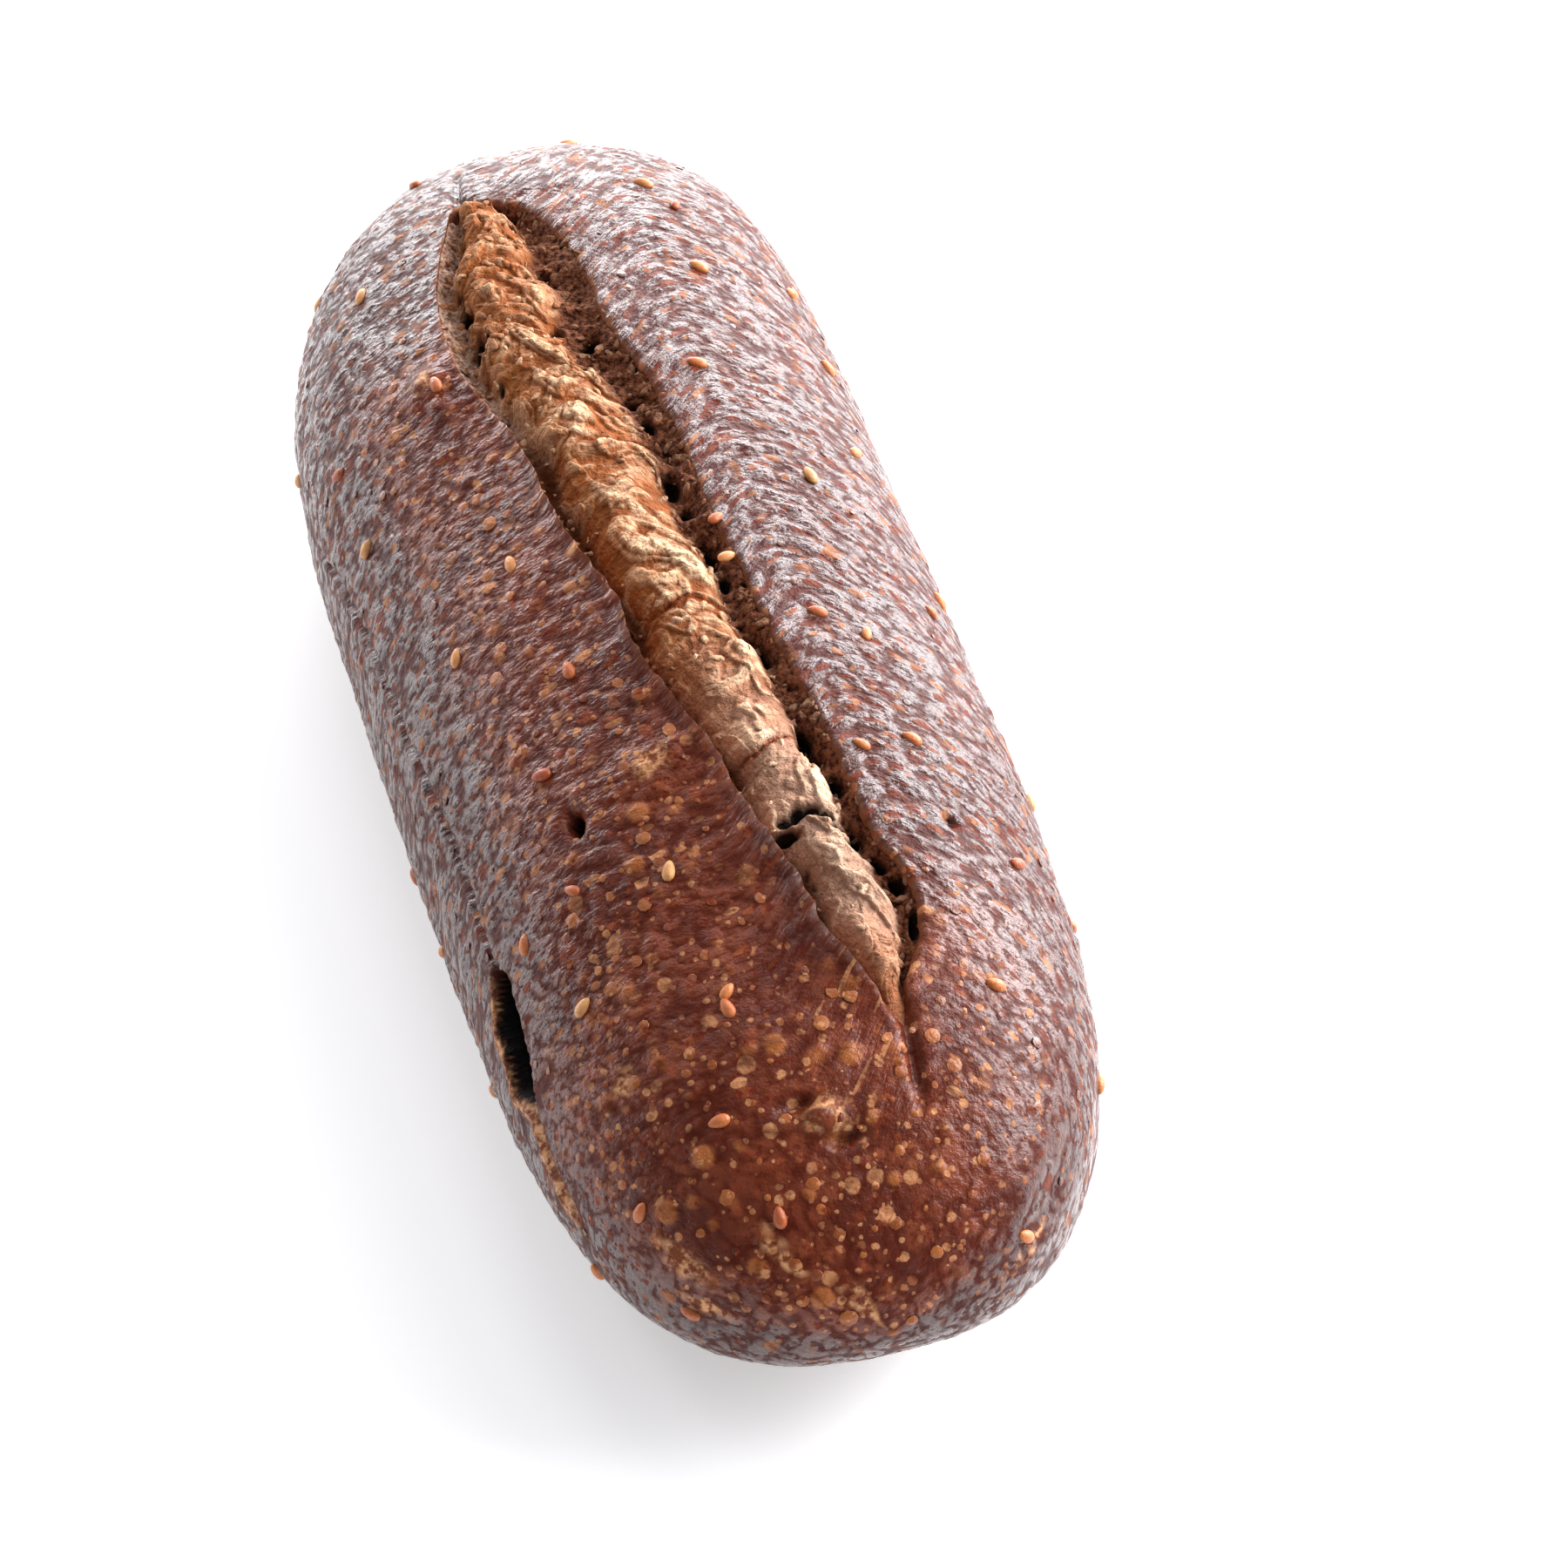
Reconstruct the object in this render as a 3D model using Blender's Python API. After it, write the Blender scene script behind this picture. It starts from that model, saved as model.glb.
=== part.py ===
"""A dark seeded hearth loaf with one long slash, as a single solid.

The loaf lies along Y, with the near end at -Y. Its skin is a grid of rings from one end to the
other. Some columns of that grid follow the two lips of the slash, and some follow the burst seam on
the left flank, so that the relief of both lies along the mesh instead of across it.
"""

import math
import random

import bmesh
import bpy
import numpy as np
from mathutils import Matrix, Vector, noise

# Overall size, in metres
LENGTH = 0.262
WIDTH = 0.095
HEIGHT = 0.077
BELLY_HEIGHT = 0.42 * HEIGHT
BASE_SINK = 0.004

# How blunt each end is: a higher power keeps the full size closer to the end
PLAN_POWER = 5.0
TOP_POWER_NEAR = 2.0
TOP_POWER_FAR = 4.2
UNDERSIDE_POWER_NEAR = 2.4
UNDERSIDE_POWER_FAR = 3.0
CROWN_POWER = 2.3
FOOT_POWER = 3.0

# The loaf isn't straight: sideways bends of its middle line and a slight taper
BEND_SQUARE = 0.0026
BEND_CUBE = 0.0065
BEND_FOURTH = 0.0025
TAPER = 0.018

# The slash: where each lip crosses the loaf, as (place along Y, place across X)
LEFT_LIP = [
    (0.098, -0.0125),
    (0.086, -0.0200),
    (0.064, -0.0258),
    (0.040, -0.0226),
    (0.010, -0.0172),
    (-0.017, -0.0119),
    (-0.049, -0.0042),
    (-0.082, 0.0060),
    (-0.097, 0.0112),
]
RIGHT_LIP = [
    (0.098, -0.0120),
    (0.086, -0.0052),
    (0.064, 0.0009),
    (0.040, 0.0042),
    (0.010, 0.0071),
    (-0.017, 0.0096),
    (-0.049, 0.0144),
    (-0.075, 0.0200),
    (-0.085, 0.0172),
    (-0.097, 0.0126),
]
SLASH_FAR = 0.098
SLASH_NEAR = -0.097
SLASH_FADE = 0.014
CLOSED_BAND = 0.006

# Across the open slash: (share of the way from left lip to right lip, lift, slide towards the right)
SLASH_PROFILE = [
    (0.00, 0.0014, 0.0012),
    (0.02, 0.0000, 0.0002),
    (0.07, -0.0026, -0.0004),
    (0.14, -0.0044, 0.0000),
    (0.18, -0.0058, 0.0000),
    (0.23, -0.0032, 0.0000),
    (0.31, -0.0006, 0.0000),
    (0.41, 0.0006, 0.0000),
    (0.52, 0.0006, 0.0000),
    (0.61, -0.0004, 0.0000),
    (0.68, -0.0022, 0.0000),
    (0.73, -0.0060, 0.0000),
    (0.78, -0.0054, 0.0000),
    (0.89, -0.0030, 0.0002),
    (1.00, 0.0004, 0.0000),
]
EAR_REACH = 0.012
EAR_LIFT = 0.0018
RIDGE_START = 0.18
RIDGE_END = 0.73
RIDGE_STRETCH = 0.012
RIDGE_WAVE = 0.0014

# Past each end the slash runs on as a thin crack
TAIL_DEPTH = 0.0012
TAIL_LENGTH = 0.012
TAIL_SHARE = 0.12

# The burst seam low on the left flank: (place along Y, angle round the section in degrees)
SEAM_PATH = [
    (0.060, 178.0),
    (0.032, 169.0),
    (-0.010, 164.0),
    (-0.045, 162.5),
    (-0.066, 165.0),
    (-0.084, 176.0),
]

# Across the seam, downwards: (distance from its middle, share of its depth, height of its swollen edge)
SEAM_PROFILE = [
    (-0.0052, 0.00, 0.0006),
    (-0.0018, 0.00, 0.0004),
    (-0.0002, 1.00, 0.0000),
    (0.0024, 0.85, 0.0000),
    (0.0056, 0.00, -0.0004),
]
CRACK_DEPTH = 0.0014
CRACK_FAR = 0.056
CRACK_NEAR = -0.086
CRACK_FADE = 0.010
CLEFT_DEPTH = 0.0068
CLEFT_MIDDLE = -0.066
CLEFT_HALF = 0.017

# Grid of the skin
RINGS = 76
RIGHT_COLUMNS = 20
SHOULDER_COLUMNS = 8
FOOT_COLUMNS = 11
NARROW_END = 0.6

# Lumps that the hand shaping and the rise leave in the crust, none where it rests
LUMP_SIZE = 0.034
LUMP_HEIGHT = 0.0011
PUCKER_SIZE = 0.009
PUCKER_HEIGHT = 0.00035
RESTING_ZONE = 0.006

# Single marks: (along Y, angle in degrees, radius along, radius across, height)
MARKS = [
    (0.050, 122.7, 0.0042, 0.0040, 0.0018),
    (-0.0446, 107.5, 0.0045, 0.0075, 0.0013),
    (-0.106, 101.0, 0.0060, 0.0110, 0.0009),
    (-0.118, 20.0, 0.0070, 0.0090, -0.0012),
]

# The one deep round pore in the crust: along Y, angle in degrees, size along, across and deep
PORE_PLACE = (-0.048, 125.7)
PORE_SIZE = (0.0044, 0.0028, 0.0060)

# Seeds baked into the crust
SEED_SIZE = (0.0036, 0.0025, 0.0018)
SEED_COUNT = 54
SEED_SPACING = 0.0165
SEED_SPAN = 0.47 * LENGTH
SEED_ANGLES = (-25.0, 200.0)
LIP_CLEARANCE = 8.0
SEAM_CLEARANCE = 12.0
SEED_SIDES = 6
SEED_RINGS = 4
SEED_DRAW = 11
SHOWN_SEEDS = [
    (-0.0951, 6.0),
    (-0.088, 108.0),
    (-0.020, 71.0),
    (-0.118, 117.0),
    (0.048, 120.0),
    (0.012, 60.0),
]

SHARP_ANGLE = math.radians(42)
CRUST_COLOUR = (0.105, 0.036, 0.022, 1.0)
CRUST_ROUGHNESS = 0.42


def clear_scene():
    for obj in list(bpy.data.objects):
        bpy.data.objects.remove(obj)


def smooth_step(value):
    value = min(max(value, 0.0), 1.0)
    return value * value * (3.0 - 2.0 * value)


def smooth_curve(points, where):
    """Height at `where` of the smooth curve through (place, height) points, flat beyond its ends."""
    points = sorted(points)
    places = [p for p, _ in points]
    heights = [h for _, h in points]
    if where <= places[0]:
        return heights[0]
    if where >= places[-1]:
        return heights[-1]
    i = max(k for k in range(len(places) - 1) if places[k] <= where)
    slopes = np.gradient(heights, places)
    span = places[i + 1] - places[i]
    s = (where - places[i]) / span
    return (
        (2 * s**3 - 3 * s**2 + 1) * heights[i]
        + (s**3 - 2 * s**2 + s) * span * slopes[i]
        + (3 * s**2 - 2 * s**3) * heights[i + 1]
        + (s**3 - s**2) * span * slopes[i + 1]
    )


def shoulder(t, near_power, far_power):
    """Share of the full size that is left at t, which runs from -1 at the near end to 1 at the far end."""
    power = near_power if t < 0 else far_power
    return math.sqrt(max(0.0, 1.0 - abs(t) ** power))


def half_width(t):
    return WIDTH / 2 * shoulder(t, PLAN_POWER, PLAN_POWER) * (1.0 + TAPER * t)


def middle_line(t):
    return BEND_SQUARE * (t**2 - 0.35) + BEND_CUBE * (t**3 - 0.6 * t) + BEND_FOURTH * (t**4 - t**2 + 0.1)


def rounded(value, power):
    return math.copysign(abs(value) ** (2.0 / power), value)


def section_point(t, angle):
    """Point of the plain body at t, at an angle round the section: 0 is right, 90 is up."""
    c, s = math.cos(math.radians(angle)), math.sin(math.radians(angle))
    power = CROWN_POWER if s > 0 else FOOT_POWER
    x = middle_line(t) + half_width(t) * rounded(c, power)
    if s > 0:
        rise = (HEIGHT - BELLY_HEIGHT) * shoulder(t, TOP_POWER_NEAR, TOP_POWER_FAR)
    else:
        rise = (BELLY_HEIGHT + BASE_SINK) * shoulder(t, UNDERSIDE_POWER_NEAR, UNDERSIDE_POWER_FAR)
    z = max(0.0, BELLY_HEIGHT + rise * rounded(s, power))
    return Vector((x, LENGTH / 2 * t, z))


def angle_at(t, x):
    """Angle at which the crown of the section at t is over x."""
    share = (x - middle_line(t)) / max(half_width(t), 1e-6)
    share = min(max(share, -0.999), 0.999)
    return math.degrees(math.acos(math.copysign(abs(share) ** (CROWN_POWER / 2.0), share)))


def outward(t, angle):
    """Unit normal of the plain body, from two short steps along its skin."""
    step_t, step_a = 1e-3, 0.3
    t = min(max(t, -1.0 + 2 * step_t), 1.0 - 2 * step_t)
    along = section_point(t + step_t, angle) - section_point(t - step_t, angle)
    round_it = section_point(t, angle + step_a) - section_point(t, angle - step_a)
    normal = along.cross(round_it)
    if normal.length < 1e-12:
        return Vector((0.0, math.copysign(1.0, t), 0.0))
    normal.normalize()
    centre = Vector((middle_line(t), 0.8 * LENGTH / 2 * t, BELLY_HEIGHT))
    return normal if normal.dot(section_point(t, angle) - centre) > 0 else -normal


def lips(t):
    """Angles of the left and right lip at t. Past the slash's ends they stay a narrow band apart."""
    y = LENGTH / 2 * t
    held = min(max(y, SLASH_NEAR), SLASH_FAR)
    left, right = smooth_curve(LEFT_LIP, held), smooth_curve(RIGHT_LIP, held)
    middle, half = (left + right) / 2, max((right - left) / 2, CLOSED_BAND / 2)
    held_width = half_width(2 * held / LENGTH)
    narrowing = half_width(t) / held_width if y != held else 1.0
    middle = middle_line(t) + (middle - middle_line(2 * held / LENGTH)) * narrowing
    return angle_at(t, middle - half * narrowing), angle_at(t, middle + half * narrowing)


def openness(y):
    """1 where the slash is open, falling to 0 at its two ends."""
    return smooth_step((SLASH_FAR - y) / SLASH_FADE) * smooth_step((y - SLASH_NEAR) / SLASH_FADE)


def tail_depth(y):
    """Depth of the thin crack in which the slash runs out past its two ends."""
    middle = (SLASH_FAR + SLASH_NEAR) / 2
    past = abs(y - middle) - (SLASH_FAR - SLASH_NEAR) / 2
    return TAIL_DEPTH * smooth_step(1.5 * (1.0 - abs(past) / TAIL_LENGTH))


def seam_angle(y):
    return smooth_curve(SEAM_PATH, y)


def seam_depth(y):
    """Depth of the burst seam: a shallow crack that widens into a cleft towards the near end."""
    cracked = smooth_step((CRACK_FAR - y) / CRACK_FADE) * smooth_step((y - CRACK_NEAR) / CRACK_FADE)
    cleft = smooth_step(1.6 * (1.0 - abs(y - CLEFT_MIDDLE) / CLEFT_HALF))
    return CRACK_DEPTH * cracked + CLEFT_DEPTH * cleft


def ring(t):
    """The points of one ring, as (angle, lift, slide) from the underside's middle round to it again."""
    y = LENGTH / 2 * t
    left, right = lips(t)
    opened = openness(y)
    seam = seam_angle(y)
    columns = [(a, 0.0, 0.0) for a in np.linspace(-90.0, right, RIGHT_COLUMNS, endpoint=False)]
    for share, lift, slide in reversed(SLASH_PROFILE):
        ridge = math.sin(math.pi * min(max((share - RIDGE_START) / (RIDGE_END - RIDGE_START), 0.0), 1.0))
        wave = RIDGE_WAVE * ridge * noise.noise(Vector((y / RIDGE_STRETCH, share * 2.4, 0.0)))
        crack = tail_depth(y) * math.exp(-(((share - 0.5) / TAIL_SHARE) ** 2))
        angle = right + (left - right) * (1.0 - share)
        columns.append((angle, opened * (lift + wave) - crack, opened * slide))
    to_degrees = math.degrees(2.0 / (half_width(t) + BELLY_HEIGHT))
    to_degrees *= min(1.0, 2.0 * half_width(t) / (NARROW_END * WIDTH))
    depth = seam_depth(y)
    burst = min(1.0, depth / CRACK_DEPTH)
    first = seam + SEAM_PROFILE[0][0] * to_degrees
    columns += [(a, 0.0, 0.0) for a in np.linspace(left, first, SHOULDER_COLUMNS + 1, endpoint=False)[1:]]
    for offset, share, swell in SEAM_PROFILE:
        columns.append((seam + offset * to_degrees, burst * swell - depth * share, 0.0))
    last = columns[-1][0]
    columns += [(a, 0.0, 0.0) for a in np.linspace(last, 270.0, FOOT_COLUMNS + 1, endpoint=False)[1:]]
    return columns


def ear_swell(y, angle, left):
    """The crust beside the left lip curls up towards it."""
    arc = math.radians(angle - left) * WIDTH / 2
    if arc < 0 or arc > EAR_REACH:
        return 0.0
    return EAR_LIFT * openness(y) * (1.0 - arc / EAR_REACH) ** 2


def marks(y, angle):
    """Height of the single lumps and dents at a place on the crust."""
    height = 0.0
    for mark_y, mark_angle, along, across, rise in MARKS:
        arc = math.radians(angle - mark_angle) * WIDTH / 2
        far = ((y - mark_y) / along) ** 2 + (arc / across) ** 2
        height += rise * math.exp(-far)
    return height


def skin_point(t, angle, lift, slide, left):
    """A point of the finished skin: the plain body with its slash, seam, lumps and marks."""
    point = section_point(t, angle)
    normal = outward(t, angle)
    y = LENGTH / 2 * t
    lumps = LUMP_HEIGHT * noise.noise(point / LUMP_SIZE) + PUCKER_HEIGHT * noise.noise(point / PUCKER_SIZE)
    raised = lift + ear_swell(y, angle, left) + marks(y, angle)
    resting = smooth_step(point.z / RESTING_ZONE)
    moved = point + normal * (raised + lumps) * resting
    moved.x += slide
    moved.z = max(0.0, moved.z)
    return moved


def loaf_body():
    """The loaf without its seeds: rings joined into a grid, with a point at each end."""
    mesh = bpy.data.meshes.new("loaf")
    shape = bmesh.new()
    rows = []
    for i in range(1, RINGS):
        t = math.sin(math.pi * (i / RINGS - 0.5))
        left = lips(t)[0]
        rows.append([shape.verts.new(skin_point(t, a, lift, slide, left)) for a, lift, slide in ring(t)])
    for near, far in zip(rows, rows[1:]):
        for j in range(len(near)):
            k = (j + 1) % len(near)
            shape.faces.new((near[j], near[k], far[k], far[j]))
    for row, t in ((rows[0], -1.0), (rows[-1], 1.0)):
        tip = shape.verts.new(section_point(t, 0.0))
        for j in range(len(row)):
            shape.faces.new((row[j], row[(j + 1) % len(row)], tip))
    bmesh.ops.triangulate(shape, faces=shape.faces)
    bmesh.ops.recalc_face_normals(shape, faces=shape.faces)
    shape.to_mesh(mesh)
    shape.free()
    obj = bpy.data.objects.new("loaf", mesh)
    bpy.context.scene.collection.objects.link(obj)
    return obj


def on_open_crust(y, angle):
    """Whether a seed may lie here: on the crust, clear of the slash, the seam and the floor."""
    left, right = lips(2 * y / LENGTH)
    off_slash = angle < right - LIP_CLEARANCE or angle > left + LIP_CLEARANCE
    off_seam = abs(angle - seam_angle(y)) > SEAM_CLEARANCE or not CRACK_NEAR < y < CRACK_FAR
    return off_slash and off_seam


def seed_places():
    """Places for the seeds: those that stand out first, then an even random spread."""
    draw = random.Random(SEED_DRAW)
    places = [(y, angle, draw.uniform(0, 180)) for y, angle in SHOWN_SEEDS]
    found = [section_point(2 * y / LENGTH, angle) for y, angle, _ in places]
    while len(places) < SEED_COUNT:
        y, angle = draw.uniform(-SEED_SPAN, SEED_SPAN), draw.uniform(*SEED_ANGLES)
        point = section_point(2 * y / LENGTH, angle)
        if on_open_crust(y, angle) and all((point - other).length > SEED_SPACING for other in found):
            places.append((y, angle, draw.uniform(0, 180)))
            found.append(point)
    return places


def pip_mesh(name, size):
    """A small round solid with few sides, pointed at one end, that lies along X."""
    mesh = bpy.data.meshes.new(name)
    shape = bmesh.new()
    bmesh.ops.create_uvsphere(shape, u_segments=SEED_SIDES, v_segments=SEED_RINGS, radius=0.5)
    bmesh.ops.rotate(shape, verts=shape.verts, matrix=Matrix.Rotation(math.radians(90), 3, "Y"))
    for vert in shape.verts:
        pointed = 1.0 - 0.35 * (vert.co.x + 0.5)
        vert.co = Vector((vert.co.x * size[0], vert.co.y * size[1] * pointed, vert.co.z * size[2]))
    shape.to_mesh(mesh)
    shape.free()
    return mesh


def lay_on(skin, mesh, y, angle, turn):
    """An object with this mesh, centred where the line out of the body at (y, angle) leaves the skin."""
    t = 2 * y / LENGTH
    plain, normal = section_point(t, angle), outward(t, angle)
    hit, place, _, _ = skin.ray_cast(plain + normal * 0.01, -normal)
    place = place if hit else plain
    laid = bpy.data.objects.new(mesh.name, mesh)
    facing = normal.to_track_quat("Z", "Y").to_matrix().to_4x4()
    laid.matrix_world = Matrix.Translation(place) @ facing @ Matrix.Rotation(math.radians(turn), 4, "Z")
    return laid


def carve_or_fuse(body, operation, laid):
    """Cuts the laid objects out of the body, or joins them to it, in one step, and removes them."""
    group = bpy.data.collections.new("laid")
    bpy.context.scene.collection.children.link(group)
    for obj in laid:
        group.objects.link(obj)
    change = body.modifiers.new("change", "BOOLEAN")
    change.operation = operation
    change.operand_type = "COLLECTION"
    change.collection = group
    graph = bpy.context.evaluated_depsgraph_get()
    changed = bpy.data.meshes.new_from_object(body.evaluated_get(graph))
    body.modifiers.clear()
    body.data = changed
    for obj in laid:
        bpy.data.objects.remove(obj)
    bpy.data.collections.remove(group)


def centre_on_origin(obj):
    """Moves the mesh so that the origin is under the middle of its box."""
    corners = np.array([v.co for v in obj.data.vertices])
    middle = (corners.min(0) + corners.max(0)) / 2
    obj.data.transform(Matrix.Translation((-middle[0], -middle[1], -corners[:, 2].min())))


def crust_material():
    material = bpy.data.materials.new("dark_crust")
    material.use_nodes = True
    shader = material.node_tree.nodes["Principled BSDF"]
    shader.inputs["Base Color"].default_value = CRUST_COLOUR
    shader.inputs["Roughness"].default_value = CRUST_ROUGHNESS
    return material


def main():
    clear_scene()
    loaf = loaf_body()
    bpy.context.view_layer.update()
    pore = pip_mesh("pore", PORE_SIZE)
    seed = pip_mesh("seed", SEED_SIZE)
    seeds = [lay_on(loaf, seed, y, angle, turn) for y, angle, turn in seed_places()]
    carve_or_fuse(loaf, "DIFFERENCE", [lay_on(loaf, pore, *PORE_PLACE, 90.0)])
    carve_or_fuse(loaf, "UNION", seeds)
    centre_on_origin(loaf)
    loaf.data.shade_smooth()
    loaf.data.set_sharp_from_angle(angle=SHARP_ANGLE)
    loaf.data.materials.clear()
    loaf.data.materials.append(crust_material())


main()
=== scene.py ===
# %% [markdown]
# A dark seeded loaf, dressed for its portrait
#
# A hearth loaf is a simple body with a very busy skin. The skin is dark, blistered and glossy, and one long
# slash has burst open over paler crumb. This lesson builds that skin over a plain model that already has
# the right size. First it loads the plain model and measures it, because everything made below has to fit
# it.

import itertools
import math
import random

import bpy
import numpy as np
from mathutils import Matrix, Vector, noise


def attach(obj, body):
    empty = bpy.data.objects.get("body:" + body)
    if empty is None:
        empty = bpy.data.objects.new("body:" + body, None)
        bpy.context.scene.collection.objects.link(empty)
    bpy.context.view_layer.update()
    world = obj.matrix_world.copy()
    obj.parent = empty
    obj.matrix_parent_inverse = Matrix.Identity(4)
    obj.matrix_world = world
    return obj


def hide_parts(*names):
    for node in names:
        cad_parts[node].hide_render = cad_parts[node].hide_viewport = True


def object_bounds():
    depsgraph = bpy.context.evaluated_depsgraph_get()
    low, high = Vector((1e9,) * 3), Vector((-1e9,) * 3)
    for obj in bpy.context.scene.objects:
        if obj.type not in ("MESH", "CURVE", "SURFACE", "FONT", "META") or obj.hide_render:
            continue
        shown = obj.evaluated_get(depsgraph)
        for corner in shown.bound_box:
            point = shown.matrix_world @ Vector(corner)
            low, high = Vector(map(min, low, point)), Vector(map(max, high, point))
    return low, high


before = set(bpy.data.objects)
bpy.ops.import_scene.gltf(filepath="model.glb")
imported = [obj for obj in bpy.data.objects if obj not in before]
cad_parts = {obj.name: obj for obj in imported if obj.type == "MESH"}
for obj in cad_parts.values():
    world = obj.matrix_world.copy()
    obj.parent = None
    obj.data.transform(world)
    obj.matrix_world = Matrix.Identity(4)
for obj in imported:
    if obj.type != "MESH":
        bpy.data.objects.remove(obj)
cad_box = [list(corner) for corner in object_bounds()]
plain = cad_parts["loaf"]
print("plain loaf, mm:", [round(1000 * (b - a), 1) for a, b in zip(*cad_box)])

# %% [markdown]
# The camera comes first, since it says how much of each side will show. The portrait looks down on the loaf
# from its near end, a little from the left, through a long lens. The loaf sits slightly above and left of
# the middle of the picture. Shifting the lens would do that, but other views would inherit the shift, so
# the camera is aimed just past the loaf instead.

# %% Camera
PICTURE = 1800
LOAF_IN_PICTURE = (777.4, 803.1)
FOCAL_PIXELS = 6645.0
CAMERA_TURN = math.radians(-13.69)
CAMERA_RISE = math.radians(46.0)
CAMERA_AWAY = 0.950
LOAF_MIDDLE = Vector((0.0, 0.0, 0.0385))


def in_scene(name, data):
    """A new object for a mesh, a lamp or a camera, put into the scene."""
    obj = bpy.data.objects.new(name, data)
    bpy.context.scene.collection.objects.link(obj)
    return obj


camera_data = bpy.data.cameras.new("portrait")
camera = in_scene("portrait", camera_data)
bpy.context.scene.camera = camera
to_right = Vector((math.cos(CAMERA_TURN), math.sin(CAMERA_TURN), 0.0))
to_camera = Vector((
    math.sin(CAMERA_TURN) * math.cos(CAMERA_RISE),
    -math.cos(CAMERA_TURN) * math.cos(CAMERA_RISE),
    math.sin(CAMERA_RISE),
))
upwards = to_camera.cross(to_right)
camera_data.sensor_width = 36.0
camera_data.lens = 36.0 * FOCAL_PIXELS / PICTURE
camera.location = LOAF_MIDDLE + to_camera * CAMERA_AWAY
aim_right = (PICTURE / 2 - LOAF_IN_PICTURE[0]) / FOCAL_PIXELS * CAMERA_AWAY
aim_down = (PICTURE / 2 - LOAF_IN_PICTURE[1]) / FOCAL_PIXELS * CAMERA_AWAY
aim = LOAF_MIDDLE + to_right * aim_right - upwards * aim_down
camera.rotation_euler = (aim - camera.location).to_track_quat("-Z", "Y").to_euler()
print("lens, mm:", round(camera_data.lens, 1), "aimed at", [round(1000 * v, 1) for v in aim])

# %% [markdown]
# The body under the crust is one formula. A loaf like this has round sections, a nearly even width, blunt
# ends and a flat foot, so each section is a rounded square whose size falls off towards the ends. Two
# numbers say where a point of the skin is: t runs from -1 at the near end to 1 at the far end, and the
# angle goes round the section, with 0 on the right and 90 on top. Working on whole arrays of such pairs
# keeps a skin of two hundred thousand points quick to make.

# %% The body under the crust
LENGTH = cad_box[1][1] - cad_box[0][1]
WIDTH = 0.095
HEIGHT = 0.077
BELLY_HEIGHT = 0.42 * HEIGHT
BASE_SINK = 0.004
PLAN_POWER = 5.0
TOP_POWERS = (2.0, 4.2)
UNDERSIDE_POWERS = (2.4, 3.0)
CROWN_POWER = 2.3
FOOT_POWER = 3.0
BENDS = (0.0026, 0.0065, 0.0025)
TAPER = 0.018
SHORT_STEP, SHORT_TURN = 1e-3, 0.3


def smooth_step(value):
    value = np.clip(value, 0.0, 1.0)
    return value * value * (3.0 - 2.0 * value)


def shoulder(t, near_power, far_power):
    return np.sqrt(np.clip(1.0 - np.abs(t) ** np.where(t < 0, near_power, far_power), 0.0, 1.0))


def half_width(t):
    return WIDTH / 2 * shoulder(t, PLAN_POWER, PLAN_POWER) * (1.0 + TAPER * t)


def middle_line(t):
    return BENDS[0] * (t**2 - 0.35) + BENDS[1] * (t**3 - 0.6 * t) + BENDS[2] * (t**4 - t**2 + 0.1)


def section(t, angle):
    """Points of the plain body, one for each pair of t and angle in degrees."""
    c, s = np.cos(np.radians(angle)), np.sin(np.radians(angle))
    power = np.where(s > 0, CROWN_POWER, FOOT_POWER)
    x = middle_line(t) + half_width(t) * np.copysign(np.abs(c) ** (2 / power), c)
    rise = np.where(
        s > 0,
        (HEIGHT - BELLY_HEIGHT) * shoulder(t, *TOP_POWERS),
        (BELLY_HEIGHT + BASE_SINK) * shoulder(t, *UNDERSIDE_POWERS),
    )
    z = BELLY_HEIGHT + rise * np.copysign(np.abs(s) ** (2 / power), s)
    return np.stack([x, LENGTH / 2 * t + 0 * x, np.maximum(z, 0.0)], axis=-1)


def outward(t, angle):
    """Unit normals of the plain body, from two short steps along its skin."""
    t = np.clip(t, -0.998, 0.998)
    along = section(t + SHORT_STEP, angle) - section(t - SHORT_STEP, angle)
    across = section(t, angle + SHORT_TURN) - section(t, angle - SHORT_TURN)
    normal = np.cross(along, across)
    normal /= np.linalg.norm(normal, axis=-1, keepdims=True) + 1e-15
    return normal


tip = min((v.co for v in plain.data.vertices), key=lambda co: co.y)
nudge = np.array([tip.x - middle_line(np.array(-1.0)), 0.0, 0.0])
print("the plain loaf's middle line is nudged by, mm:", np.round(1000 * nudge, 2))

# %% [markdown]
# The slash is where the baker's blade cut, and the oven pulled its two lips apart. The left lip curled up
# into a thin sharp ear, and the right one stayed low. Each lip is a smooth curve through a few places, with
# a little noise so that the torn edge isn't drawn with a ruler. Past its ends the slash closes to a narrow
# band.

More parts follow.
